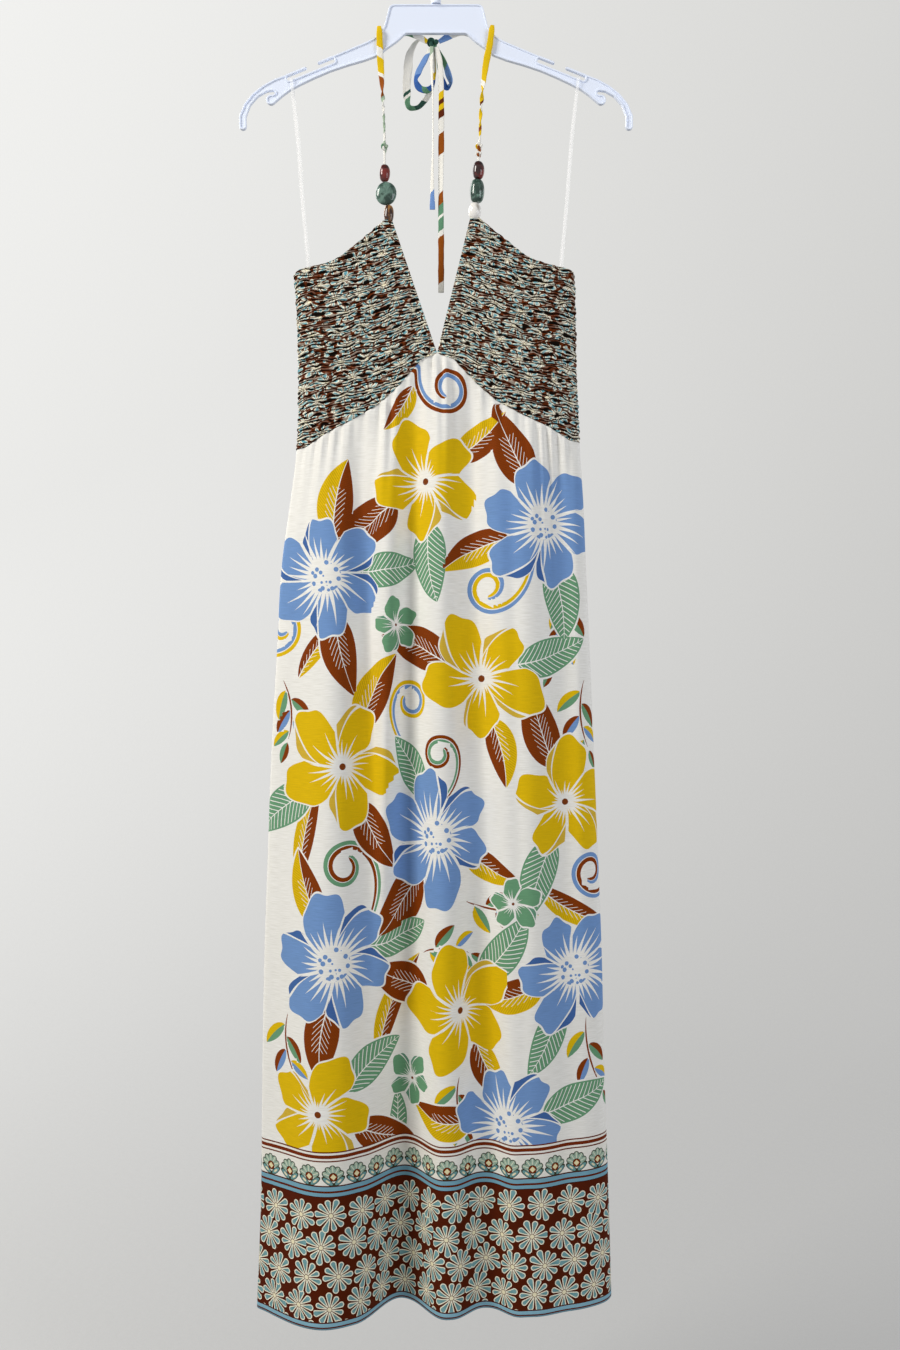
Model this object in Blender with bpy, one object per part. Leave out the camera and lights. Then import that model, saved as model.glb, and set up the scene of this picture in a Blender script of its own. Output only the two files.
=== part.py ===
"""A halter maxi dress with a smocked bodice, hanging on a moulded hanger.

Metres, +Z up. The front of the dress faces -Y and its left, as seen from the front, is -X. The origin is
the top of the hook's inside, where a rail carries the hanger.
"""

import math

import bmesh
import bpy
import numpy as np
from mathutils import Vector

MM = 0.001
SEAM_GAP = 0.3 * MM
WALL = 1.2 * MM
HEM_DROP = 1493 * MM

# The dress's section at heights below the hook, in mm. left and right are the side seams' places across,
# front and back are how far forward and back the cloth reaches, and seam_right is the right side seam's
# place in depth (the left one stays at 0).
BODY_COLUMNS = ("drop", "left", "right", "front", "back", "seam_right")
BODY_ROWS = (
    (300, -155, 152, -11, 12, 0),
    (364, -155, 152, -17, 14, 0),
    (400, -153, 153, -21, 16, 0),
    (455, -151, 154, -24, 18, 0),
    (548, -153, 158, -26, 22, 0),
    (606, -160, 162, -28, 25, 1),
    (672, -169, 165, -29, 28, 3),
    (772, -175, 170, -29, 32, 7),
    (882, -181, 175, -28, 36, 11),
    (992, -185, 180, -27, 39, 16),
    (1112, -189, 185, -25, 41, 21),
    (1222, -191, 188, -23, 43, 26),
    (1390, -193, 194, -21, 45, 30),
    (1493, -197, 197, -20, 46, 32),
)
BODY = dict(zip(BODY_COLUMNS, np.array(BODY_ROWS).T * MM))
ROUNDNESS = 2.6

# The seam under the cups: share of the half width from the centre, and drop below the hook in mm. Its
# rows are the columns of both cups' grids, so that the skirt meets their straight edges.
SEAM_ROWS = (
    (0.00, 451),
    (0.12, 459),
    (0.28, 486),
    (0.42, 505),
    (0.60, 520),
    (0.78, 533),
    (0.92, 547),
    (0.98, 548),
    (1.00, 548),
)
SEAM_SHARE, SEAM_DROP = np.array(SEAM_ROWS).T * ((1.0,), (MM,))
SEAM_SKEW = 4 * MM
SIDE_TOP_DROP = 364 * MM

# A cup's top edge: distance out from the centre line and drop, in mm, from the side to the apex.
CUP_TOP_ROWS = (
    (153, 364),
    (149, 359),
    (125, 354),
    (104, 347),
    (84, 332),
    (66, 317),
    (51, 304.5),
    (42, 303.5),
)
APEX_LEAN = -5 * MM
APEX_SKEW = 1.5 * MM
APEX_DROP = 303.5 * MM
SMOCKING_ROWS = 32
SMOCKING_RIDGE = 1.5 * MM
INNER_EVERY = 8
SCOOP_ROW = 32
SCOOP_REACH = 0.86
SCOOP_POWER = 1.7
BACK_COLUMNS = (1.0, 0.98, 0.92, 0.78, 0.55, 0.28, 0.0)

GATHERS_FRONT = 20
GATHERS_BACK = 16
GATHER_HEIGHT = 2.3 * MM

# Lengthwise folds of the skirt: place across and half width, near the seam and at the hem, and how far
# the cloth stands out near the seam, half way down and at the hem. All in mm, negative for a hollow.
# They hold their top values down to FOLDS_DROP.
FOLDS_DROP = 600 * MM
FOLD_COLUMNS = ("x_top", "x_hem", "reach_top", "reach_hem", "out_top", "out_middle", "out_hem")
FRONT_FOLDS = (
    (-112, -122, 34, 85, 7, 19, 31),
    (-80, -70, 24, 30, -6, -4, 0),
    (-53, -50, 22, 26, 6, 2, 0),
    (-26, -38, 20, 48, -6, -20, -37),
    (4, 12, 26, 38, 6, 9, 9),
    (36, 56, 26, 36, -5, -9, -15),
    (95, 108, 44, 42, 8, 9, 6),
    (134, 150, 20, 20, -5, -3, 0),
)
BACK_FOLDS = (
    (-95, -110, 50, 60, 3, 6, 8),
    (5, -5, 45, 55, -3, -6, -8),
    (90, 100, 50, 60, 3, 6, 8),
)
FRONT_STEPS = 68
BACK_STEPS = 44
SKIRT_ROWS = (0, 7, 18, 34, 56, 90, 140, 215, 310, 420, 540, 660, 790, 920)

HANGER_THICKNESS = 5 * MM
HOOK_RADIUS = 22 * MM
HOOK_WIRE = 6 * MM

# Each bead, from the cup's apex upwards: side, place, across, width, depth and height in mm, and its
# colour. All hang at one place in depth.
BEADS = (
    ("left", "bottom", -51.5, 11, 9, 19.0, "amber_bead"),
    ("left", "middle", -54.5, 23, 10, 25.0, "green_bead"),
    ("left", "top", -56.0, 12, 11, 18.6, "garnet_bead"),
    ("right", "bottom", 42.5, 14, 13, 18.7, "shell_bead"),
    ("right", "middle", 45.0, 16, 15, 25.0, "green_bead"),
    ("right", "top", 46.5, 13, 12, 19.6, "garnet_bead"),
)
BEAD_PLACE = -9 * MM

# Ribbons and cords: across, depth, drop, width and thickness in mm. The strap runs from its beads up and
# over the hanger to the bow behind it.
RIBBON_COLUMNS = ("x", "y", "drop", "width", "thickness")
STRAP_LEFT = (
    (-56.0, -9.0, 241.2, 2.4, 2.2),
    (-56.0, -8.8, 231, 2.4, 2.2),
    (-56.0, -8.6, 223, 7.5, 7.0),
    (-56.0, -8.2, 214, 2.8, 2.4),
    (-57.0, -7.0, 188, 3.2, 2.0),
    (-58.5, -6.0, 160, 5.2, 1.6),
    (-60.5, -5.0, 132, 7.0, 1.5),
    (-61.8, -4.1, 104, 7.0, 1.5),
    (-62.2, -4.1, 90.5, 5.5, 1.5),
    (-62.8, 0.0, 85.4, 4.5, 1.5),
    (-62.2, 4.1, 90.5, 5.5, 1.5),
    (-58.5, 4.2, 95.5, 7.0, 1.5),
    (-49.0, 4.2, 94.5, 7.0, 1.5),
    (-32.0, 4.4, 90.0, 7.0, 1.5),
    (-19.0, 6.0, 93.5, 7.0, 1.5),
    (-10.1, 8.0, 98.0, 5.0, 1.5),
)
STRAP_RIGHT = (
    (46.5, -9.0, 237.5, 2.4, 2.2),
    (46.7, -8.8, 235.5, 2.4, 2.2),
    (47.0, -8.7, 230, 6.5, 6.5),
    (47.6, -8.5, 222, 7.5, 7.0),
    (48.0, -8.1, 213, 3.0, 2.4),
    (49.0, -7.0, 185, 4.0, 2.0),
    (51.5, -6.0, 155, 5.5, 1.6),
    (55.0, -5.0, 128, 7.0, 1.5),
    (59.5, -4.1, 104, 7.0, 1.5),
    (61.4, -4.1, 89.5, 5.5, 1.5),
    (62.0, 0.0, 84.4, 4.5, 1.5),
    (61.4, 4.1, 89.5, 5.5, 1.5),
    (57.0, 4.2, 95, 7.0, 1.5),
    (47.0, 4.2, 94, 7.0, 1.5),
    (27.0, 4.4, 89.5, 7.0, 1.5),
    (13.0, 6.0, 93.5, 7.0, 1.5),
    (3.1, 8.0, 98.0, 5.0, 1.5),
)
KNOT = (-3.5, 9.0, 99)
KNOT_SIZE = (13, 10, 11)
LOOP_LEFT = (
    (-8.6, 12.6, 95.5, 5, 1.4),
    (-19, 13.2, 93, 7, 1.4),
    (-27.5, 13.5, 104, 8, 1.4),
    (-31.5, 13.5, 128, 8, 1.4),
    (-32.5, 13.5, 152, 8, 1.4),
    (-29.0, 14.5, 168, 7, 1.4),
    (-22.0, 16.5, 167, 7, 1.4),
    (-12.0, 18.0, 157, 7, 1.4),
    (-5.0, 18.0, 146, 7, 1.4),
    (-3.0, 17.0, 125, 7, 1.4),
    (-3.6, 13.8, 104.4, 5, 1.4),
)
LOOP_INNER = (
    (-6.4, 10.4, 104.2, 5, 1.4),
    (-12.5, 9.5, 117, 7, 1.4),
    (-19.5, 9.0, 131, 7, 1.4),
    (-22.5, 9.5, 141, 7, 1.4),
    (-17.5, 10.5, 148.5, 7, 1.4),
    (-8.5, 11.0, 149.5, 7, 1.4),
    (-3.0, 11.0, 143, 7, 1.4),
    (-2.5, 11.0, 125, 7, 1.4),
    (-2.6, 9.8, 105.2, 4, 1.4),
)
LOOP_RIGHT = (
    (0.8, 10.9, 103.2, 4, 1.4),
    (8.0, 12.0, 116, 6, 1.4),
    (13.5, 13.0, 131, 7, 1.4),
    (16.0, 15.0, 141, 7, 1.4),
    (12.5, 18.0, 144, 7, 1.4),
    (7.0, 18.5, 134, 7, 1.4),
    (2.5, 17.0, 118, 6, 1.4),
    (1.4, 13.4, 103.0, 4, 1.4),
)
TAIL_LONG = (
    (0.4, 7.7, 103.8, 5, 1.4),
    (4.0, 6.5, 120, 6, 1.4),
    (5.5, 6.0, 150, 6, 1.4),
    (5.8, 6.0, 200, 6.5, 1.4),
    (5.2, 6.5, 260, 6, 1.4),
    (5.6, 6.5, 320, 6.5, 1.4),
    (5.5, 7.0, 376, 6.5, 1.4),
)
TAIL_SHORT = (
    (-4.8, 5.8, 104.2, 4, 1.4),
    (-5.0, 4.5, 122, 4, 1.4),
    (-3.6, 4.0, 160, 3, 1.4),
    (-3.4, 4.0, 210, 3, 1.4),
    (-4.2, 4.5, 250, 4, 1.4),
    (-4.0, 4.5, 285, 6, 1.4),
)
HANGING_LEFT = (
    (-138.5, -6.8, 373, 3.4, 0.8),
    (-140.5, -6.6, 345, 3.4, 0.8),
    (-146.0, -5.0, 285, 3.4, 0.8),
    (-152.5, -4.0, 205, 3.4, 0.8),
    (-158.0, -3.6, 152, 3.4, 0.8),
    (-158.6, -3.2, 144.0, 3.4, 0.8),
    (-158.8, 0.0, 141.3, 3.4, 0.8),
    (-158.6, 3.2, 144.0, 3.4, 0.8),
    (-158.0, 3.6, 152, 3.4, 0.8),
    (-152.0, 4.0, 205, 3.4, 0.8),
    (-146.0, 4.6, 285, 3.4, 0.8),
    (-140.5, 5.0, 345, 3.4, 0.8),
    (-138.5, 5.2, 373, 3.4, 0.8),
)

COLOURS = {
    "pale_polypropylene": ((0.72, 0.75, 0.88), 0.35),
    "smocked_cloth": ((0.36, 0.45, 0.42), 0.75),
    "printed_viscose": ((0.85, 0.84, 0.80), 0.6),
    "yellow_strap_cloth": ((0.82, 0.62, 0.12), 0.65),
    "white_strap_cloth": ((0.82, 0.80, 0.72), 0.65),
    "blue_strap_cloth": ((0.16, 0.28, 0.55), 0.65),
    "green_strap_cloth": ((0.10, 0.26, 0.19), 0.65),
    "clear_elastic": ((0.85, 0.87, 0.90), 0.2),
    "garnet_bead": ((0.13, 0.015, 0.01), 0.2),
    "green_bead": ((0.12, 0.25, 0.2), 0.3),
    "amber_bead": ((0.35, 0.12, 0.02), 0.2),
    "shell_bead": ((0.8, 0.78, 0.74), 0.25),
}


def clear_scene():
    for obj in list(bpy.data.objects):
        bpy.data.objects.remove(obj, do_unlink=True)


def material(name):
    """The named material, a Principled BSDF with its colour and roughness."""
    found = bpy.data.materials.get(name)
    if found:
        return found
    made = bpy.data.materials.new(name)
    made.use_nodes = True
    shader = made.node_tree.nodes["Principled BSDF"]
    colour, roughness = COLOURS[name]
    shader.inputs["Base Color"].default_value = (*colour, 1)
    shader.inputs["Roughness"].default_value = roughness
    shader.inputs["Metallic"].default_value = 0.0
    return made


def add(name, data, finish, group):
    """Puts a mesh or a curve into the dress's collection as one named sub-part."""
    obj = bpy.data.objects.new(name, data)
    data.materials.append(material(finish))
    group.objects.link(obj)
    return obj


def mesh_of(name, points, faces):
    """A closed mesh with its faces turned outwards and its round stretches shaded smooth."""
    mesh = bpy.data.meshes.new(name)
    mesh.from_pydata(points, [], faces)
    shell = bmesh.new()
    shell.from_mesh(mesh)
    bmesh.ops.remove_doubles(shell, verts=shell.verts, dist=1e-6)
    bmesh.ops.recalc_face_normals(shell, faces=shell.faces)
    shell.to_mesh(mesh)
    shell.free()
    mesh.shade_smooth()
    mesh.set_sharp_from_angle(angle=math.radians(50))
    return mesh


def through(at, knots, values):
    """A smooth curve through a table's values: a cubic between neighbours, with their mean slopes."""
    slopes = np.gradient(values, knots)
    low = np.clip(np.searchsorted(knots, at) - 1, 0, len(knots) - 2)
    span = knots[low + 1] - knots[low]
    t = np.clip((at - knots[low]) / span, 0, 1)
    return (
        values[low] * (1 + 2 * t) * (1 - t) ** 2
        + values[low + 1] * t**2 * (3 - 2 * t)
        + span * t * (1 - t) * (slopes[low] * (1 - t) - slopes[low + 1] * t)
    )


def body(column, z):
    return through(-np.asarray(z, float), BODY["drop"], BODY[column])


def across(share, z):
    """Place across of a share of the width: -1 at the left side seam, 1 at the right one."""
    left, right = body("left", z), body("right", z)
    return (left + right) / 2 + share * (right - left) / 2


def depth(face, share, z):
    """Depth of the smooth cloth: a flat front or back with rounded sides, level at the side seams."""
    seam = body("seam_right", z) * (1 + share) / 2
    rounding = (1 - np.abs(share) ** ROUNDNESS) ** (1 / ROUNDNESS)
    return seam + (body(face, z) - seam) * rounding


def outward(face, share, z):
    """Horizontal unit normals of the smooth cloth, which point out of the dress."""
    step = 1e-4
    low = np.clip(share - step, -1, 1)
    high = np.clip(share + step, -1, 1)
    dx = across(high, z) - across(low, z)
    dy = depth(face, high, z) - depth(face, low, z)
    turned = np.stack([dy, -dx, np.zeros_like(dx)], axis=-1) * (1 if face == "front" else -1)
    normal = turned / np.linalg.norm(turned, axis=-1, keepdims=True)
    side = np.abs(share) > 1 - 1e-6
    normal[side] = np.stack([np.sign(share), share * 0, share * 0], axis=-1)[side]
    return normal


def clear_of_seam(points, face, z):
    """Keeps a panel half a seam gap on its own side of the side seams."""
    sign = -1 if face == "front" else 1
    share = np.clip((points[..., 0] - across(-1, z)) / (across(1, z) - across(-1, z)), 0, 1)
    limit = body("seam_right", z) * share + sign * SEAM_GAP / 2
    near = np.minimum(share, 1 - share) < 0.05
    if face == "front":
        points[..., 1] = np.where(near, np.minimum(points[..., 1], limit), points[..., 1])
    else:
        points[..., 1] = np.where(near, np.maximum(points[..., 1], limit), points[..., 1])
    return points


def rim(outer, inner, kept):
    """Faces between an outer edge and an inner one that has only the outer edge's points in kept."""
    faces = []
    for j in range(len(kept) - 1):
        middle = (kept[j] + kept[j + 1]) // 2
        for i in range(kept[j], kept[j + 1]):
            faces.append((outer[i], outer[i + 1], inner[j if i < middle else j + 1]))
        faces.append((outer[middle], inner[j + 1], inner[j]))
    return faces


def cloth_wall(outer, inner, kept, joined_below=0):
    """Points and faces of a cloth wall: an outer grid of rows from the bottom up, and an inner grid with
    only the rows in kept. The last column stays open under row joined_below, for its other half."""
    rows, columns = outer.shape[:2]
    out = np.arange(rows * columns).reshape(rows, columns)
    ins = rows * columns + np.arange(len(kept) * columns).reshape(len(kept), columns)
    faces = []
    for grid in (out, ins):
        faces += [
            (grid[r, c], grid[r, c + 1], grid[r + 1, c + 1], grid[r + 1, c])
            for r in range(len(grid) - 1)
            for c in range(columns - 1)
        ]
    for c in range(columns - 1):
        faces.append((out[0, c], out[0, c + 1], ins[0, c + 1], ins[0, c]))
        faces.append((out[-1, c], out[-1, c + 1], ins[-1, c + 1], ins[-1, c]))
    faces += rim(out[:, 0], ins[:, 0], kept)
    first = kept.index(joined_below)
    above = [row - joined_below for row in kept[first:]]
    faces += rim(out[joined_below:, -1], ins[first:, -1], above)
    return np.concatenate([outer.reshape(-1, 3), inner.reshape(-1, 3)]), faces


def seam_drop(share):
    """Drop of the seam under the cups, an inverted V that sits a little lower on the left."""
    return np.interp(np.abs(share), SEAM_SHARE, SEAM_DROP) - SEAM_SKEW * share


def smocked(face, share, z):
    """Outer and inner points of smocked cloth: a ridge between each two rows of thread, puckered along
    its length, over a plain inside."""
    line = np.arange(share.shape[0])[:, None]
    pucker = 1 + 0.25 * np.sin(share * 41 + line * 2.4)
    height = np.where(line % 2 == 1, SMOCKING_RIDGE * pucker, 0)
    surface = np.stack([across(share, z), depth(face, share, z), z], axis=-1)
    normal = outward(face, share, z)
    outer = clear_of_seam(surface + normal * height[..., None], face, z)
    inner = clear_of_seam(surface - normal * WALL, face, z)
    return outer, inner


def make_cup(side, group):
    """One front cup: a patch stretched between its side seam, top edge, V edge and bottom seam."""
    sign = -1 if side == "left" else 1
    lines = 2 * SMOCKING_ROWS + 1
    up = np.linspace(0, 1, lines)[:, None]
    toward = 1 - SEAM_SHARE[::-1]
    bottom_share = sign * SEAM_SHARE[::-1]
    bottom_z = -seam_drop(bottom_share) + SEAM_GAP / 2
    bottom_x = across(bottom_share, bottom_z) + SEAM_GAP / 2 * sign * (toward == 1)
    top_x, top_drop = np.array(CUP_TOP_ROWS).T * MM
    reach = np.linspace(0, 1, len(top_x))
    top_x = sign * through(toward, reach, top_x) + APEX_LEAN * toward
    top_z = -through(toward, reach, top_drop) + sign * APEX_SKEW * toward
    side_z = bottom_z[0] + (top_z[0] - bottom_z[0]) * up
    side_x = across(float(sign), side_z)
    edge_z = bottom_z[-1] + (top_z[-1] - bottom_z[-1]) * up
    edge_x = bottom_x[-1] + (top_x[-1] - bottom_x[-1]) * up
    x = (1 - up) * bottom_x + up * top_x + (1 - toward) * side_x + toward * edge_x
    x -= (1 - up) * ((1 - toward) * bottom_x[0] + toward * bottom_x[-1])
    x -= up * ((1 - toward) * top_x[0] + toward * top_x[-1])
    z = (1 - up) * bottom_z + up * top_z + (1 - toward) * side_z + toward * edge_z
    z -= (1 - up) * ((1 - toward) * bottom_z[0] + toward * bottom_z[-1])
    z -= up * ((1 - toward) * top_z[0] + toward * top_z[-1])
    middle = across(0.0, z)
    share = np.clip((x - middle) / (across(1.0, z) - middle), -1, 1)
    outer, inner = smocked("front", share, z)
    kept = list(range(0, lines, INNER_EVERY))
    points, faces = cloth_wall(outer, inner[kept], kept)
    return add(f"cup_{side}", mesh_of(f"cup_{side}", points, faces), "smocked_cloth", group)


def make_bodice_back(group):
    """The smocked back band: level rows, with a top edge scooped down to the centre."""
    lines = 2 * SMOCKING_ROWS + 1
    points, faces = [], []
    for sign in (-1, 1):
        outward_share = np.array(BACK_COLUMNS)
        rise = (np.arange(lines) - SCOOP_ROW) / (lines - 1 - SCOOP_ROW)
        end = SCOOP_REACH * np.clip(rise, 0, 1) ** (1 / SCOOP_POWER)
        share = sign * (end[:, None] + (1 - end[:, None]) * outward_share)
        low = -seam_drop(1.0) + SEAM_SKEW * (share - 1)
        up = np.linspace(0, 1, lines)[:, None]
        z = low + up * (-SIDE_TOP_DROP - low)
        outer, inner = smocked("back", share, z)
        kept = list(range(0, lines, INNER_EVERY))
        half_points, half_faces = cloth_wall(outer, inner[kept], kept, joined_below=SCOOP_ROW)
        faces += [tuple(i + len(points) for i in face) for face in half_faces]
        points += list(half_points)
    return add("bodice_back", mesh_of("bodice_back", points, faces), "smocked_cloth", group)


def gathers(face, share, below):
    """How far the gathers under the seam push the cloth out and in, fading as it falls."""
    count = GATHERS_FRONT if face == "front" else GATHERS_BACK
    phase = count * math.pi * (share + 0.03 * np.sin(7 * share + 0.5) + 0.018 * np.sin(17 * share))
    height = GATHER_HEIGHT * (0.75 + 0.25 * np.sin(16.6 * share + 1))
    swell = 1 - np.exp(-below / (6 * MM))
    fade = np.exp(-below / ((30 + 20 * (1 + np.sin(11 * share))) * MM))
    return np.cos(phase) * height * (0.1 + swell) * fade


def folds(face, x, z):
    """How far the skirt's long folds push the cloth out: a raised cosine across each fold."""
    fall = np.clip((-z - FOLDS_DROP) / (HEM_DROP - FOLDS_DROP), 0, 1)
    knots = np.array([0.0, 0.45, 1.0])
    total = np.zeros_like(x)
    for row in FRONT_FOLDS if face == "front" else BACK_FOLDS:
        fold = dict(zip(FOLD_COLUMNS, np.array(row) * MM))
        place = fold["x_top"] + (fold["x_hem"] - fold["x_top"]) * fall
        reach = fold["reach_top"] + (fold["reach_hem"] - fold["reach_top"]) * fall
        heights = np.array([fold["out_top"], fold["out_middle"], fold["out_hem"]])
        wave = 0.5 + 0.5 * np.cos(math.pi * np.clip((x - place) / reach, -1, 1))
        total += through(fall, knots, heights) * wave
    return total


def skirt_row(face, below_share, steps):
    """Outer and inner points of one row of a skirt panel, spaced evenly along the folded cloth, with a
    column under each corner of the cups' edges."""
    share = np.sin(np.linspace(-math.pi / 2, math.pi / 2, 801))
    seam = seam_drop(share) if face == "front" else seam_drop(1.0) - SEAM_SKEW * (share - 1)
    top = -seam - SEAM_GAP / 2
    z = top + (-HEM_DROP - top) * below_share
    below = top - z
    x = across(share, z)
    sign = -1 if face == "front" else 1
    sides = np.clip((1 - np.abs(share)) / 0.12, 0, 1)
    out = gathers(face, share, below) + folds(face, x, z) * (1 - np.exp(-below / (45 * MM)))
    y = depth(face, share, z) + sign * out * sides * (2 - sides)
    y[0] = depth(face, share[:1], z[:1])[0]
    y[-1] = depth(face, share[-1:], z[-1:])[0]
    along = np.concatenate([[0], np.cumsum(np.hypot(np.diff(x), np.diff(y)))])
    even = np.linspace(0, along[-1], steps + 1)
    if face == "front":
        for corner in np.interp([*-SEAM_SHARE[1:-1], *SEAM_SHARE[:-1]], share, along):
            even[np.argmin(np.abs(even - corner))] = corner
    x, y, z = (np.interp(even, along, values) for values in (x, y, z))
    dx, dy = np.gradient(x), np.gradient(y)
    normal = np.stack([dy, -dx, dx * 0], axis=-1) * (1 if face == "front" else -1)
    normal /= np.linalg.norm(normal, axis=-1, keepdims=True)
    normal[0], normal[-1] = (-1, 0, 0), (1, 0, 0)
    outer = np.stack([x, y, z], axis=-1)
    inner = clear_of_seam(outer - normal * WALL, face, z)
    return clear_of_seam(outer, face, z), inner


def make_skirt(face, steps, group):
    """A skirt panel, from the bodice seam down to the hem."""
    shares = [*(drop / 1000 for drop in SKIRT_ROWS), 1.0]
    rows = [skirt_row(face, share, steps) for share in reversed(shares)]
    outer = np.stack([row[0] for row in rows])
    inner = np.stack([row[1] for row in rows])
    kept = list(range(len(rows)))
    points, faces = cloth_wall(outer, inner, kept)
    name = f"skirt_{face}"
    return add(name, mesh_of(name, points, faces), "printed_viscose", group)


def make_ribbon(name, rows, finish, group, steps_each=2):
    """A flat ribbon with rounded edges along a smooth route, which turns no more than its route does."""
    table = dict(zip(RIBBON_COLUMNS, np.array(rows, float).T * MM))
    knots = np.array([table["x"], table["y"], -table["drop"]]).T
    chord = np.concatenate([[0], np.cumsum(np.linalg.norm(np.diff(knots, axis=0), axis=1))])
    at = np.interp(
        np.linspace(0, len(rows) - 1, (len(rows) - 1) * steps_each + 1), np.arange(len(rows)), chord
    )
    route = np.stack([through(at, chord, knots[:, axis]) for axis in range(3)], axis=-1)
    widths = through(at, chord, table["width"])
    thicknesses = through(at, chord, table["thickness"])
    ahead = np.gradient(route, axis=0)
    ahead /= np.linalg.norm(ahead, axis=1, keepdims=True)
    side = Vector((1, 0, 0))
    angles = (np.arange(8) + 0.5) * math.pi / 4
    wide = np.clip(np.cos(angles) / math.cos(math.pi / 8), -1, 1)
    thick = np.clip(np.sin(angles) * 1.3, -1, 1)
    points = []
    previous = Vector(ahead[0])
    for place, direction, width, thickness in zip(route, ahead, widths, thicknesses):
        tangent = Vector(direction)
        side = previous.rotation_difference(tangent) @ side
        side = (side - side.project(tangent)).normalized()
        up = tangent.cross(side)
        previous = tangent
        points += [
            Vector(place) + side * float(a * width / 2) + up * float(b * thickness / 2)
            for a, b in zip(wide, thick)
        ]
    rings = len(route)
    faces = [
        (r * 8 + c, r * 8 + (c + 1) % 8, (r + 1) * 8 + (c + 1) % 8, (r + 1) * 8 + c)
        for r in range(rings - 1)
        for c in range(8)
    ]
    faces += [tuple(range(8)), tuple((rings - 1) * 8 + c for c in range(8))]
    return add(name, mesh_of(name, points, faces), finish, group)


def make_ball(name, centre, size, finish, group):
    """A bead or knot: a sphere stretched to its width, depth and height."""
    shell = bmesh.new()
    bmesh.ops.create_uvsphere(shell, u_segments=12, v_segments=8, radius=0.5)
    bmesh.ops.scale(shell, vec=[length * MM for length in size], verts=shell.verts)
    mesh = bpy.data.meshes.new(name)
    shell.to_mesh(mesh)
    shell.free()
    mesh.shade_smooth()
    obj = add(name, mesh, finish, group)
    x, y, drop = centre
    obj.location = (x * MM, y * MM, -drop * MM)
    return obj


def make_beads(group):
    """The beads over each apex, each resting on the one below."""
    rest = {"left": APEX_DROP + APEX_SKEW, "right": APEX_DROP - APEX_SKEW}
    for side, place, x, width, thickness, height, colour in BEADS:
        drop = (rest[side] - SEAM_GAP) / MM - height / 2
        rest[side] = drop * MM - height * MM / 2
        centre = (x, BEAD_PLACE / MM, drop)
        make_ball(f"bead_{side}_{place}", centre, (width, thickness, height), colour, group)


def arc(x, drop, radius, start, end, steps):
    """Points of an arc in mm, by angles in degrees from +X towards up."""
    turns = np.radians(np.linspace(start, end, steps + 1))
    return [(x + radius * math.cos(a), drop - radius * math.sin(a)) for a in turns]


def hanger_half():
    """Right half of the hanger's outline, from the top centre round the arm to the bottom centre, as
    distance out and drop in mm: the plate, the strap slot, the hooked tip, its scroll and the arm."""
    plate = [(0, 61.5), *arc(46, 68, 6.5, 90, 20, 4), (57, 85)]
    shoulder = [(60.5, 91), (66, 97), (75, 102.3), (110, 117)]
    slot_start, slot_end = np.array((114.0, 118.7)), np.array((165.0, 139.2))
    slope = (slot_end - slot_start) / np.linalg.norm(slot_end - slot_start)
    inward = np.array((-slope[1], slope[0]))
    lip, floor, inner_lip, outer_lip = 1.8, 7.2, 18, 24
    slot = [
        slot_start,
        slot_start + slope * inner_lip,
        slot_start + slope * inner_lip + inward * lip,
        slot_start + inward * lip,
        slot_start - slope * 1.0 + inward * (lip + floor) / 2,
        slot_start + inward * floor,
        slot_end + inward * floor,
        slot_end + slope * 1.0 + inward * (lip + floor) / 2,
        slot_end + inward * lip,
        slot_end - slope * outer_lip + inward * lip,
        slot_end - slope * outer_lip,
        slot_end,
    ]
    tip = [(178, 144), (191, 151.2), (202, 160), (211, 171), (216.5, 184)]
    tip += arc(212.4, 195.5, 4.2, 10, -170, 5)
    tip += [(208.5, 185), (203.8, 172.5), (195.5, 163), (186, 157.6), (179, 156.6)]
    scroll = [(176.4, 158.4), (178, 160.4), *arc(181.5, 166.5, 5.5, 110, -120, 7)]
    arm = [(168, 162), (160, 156.2), (148.5, 150), (132, 142.2), (115.5, 135.2), (97, 129)]
    arm += [(78, 123.5), (62, 117.5), (54, 110.5), (43, 102.8), *arc(31, 100.4, 6.5, 60, 90, 2)]
    return [*plate, *shoulder, *slot, *tip, *scroll, *arm, (0, 93.9)]


def make_hanger(group):
    """The moulded hanger: one flat outline, as thick as its rim."""
    half = [(float(x), float(drop)) for x, drop in hanger_half()]
    outline = half + [(-x, drop) for x, drop in reversed(half[1:-1])]
    curve = bpy.data.curves.new("hanger", "CURVE")
    curve.dimensions = "2D"
    curve.fill_mode = "BOTH"
    curve.extrude = HANGER_THICKNESS / 2
    spline = curve.splines.new("POLY")
    spline.points.add(len(outline) - 1)
    for point, (x, drop) in zip(spline.points, outline):
        point.co = (x * MM, -drop * MM, 0, 1)
    spline.use_cyclic_u = True
    obj = add("hanger", curve, "pale_polypropylene", group)
    obj.rotation_euler = (math.radians(90), 0, 0)
    return obj


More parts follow.
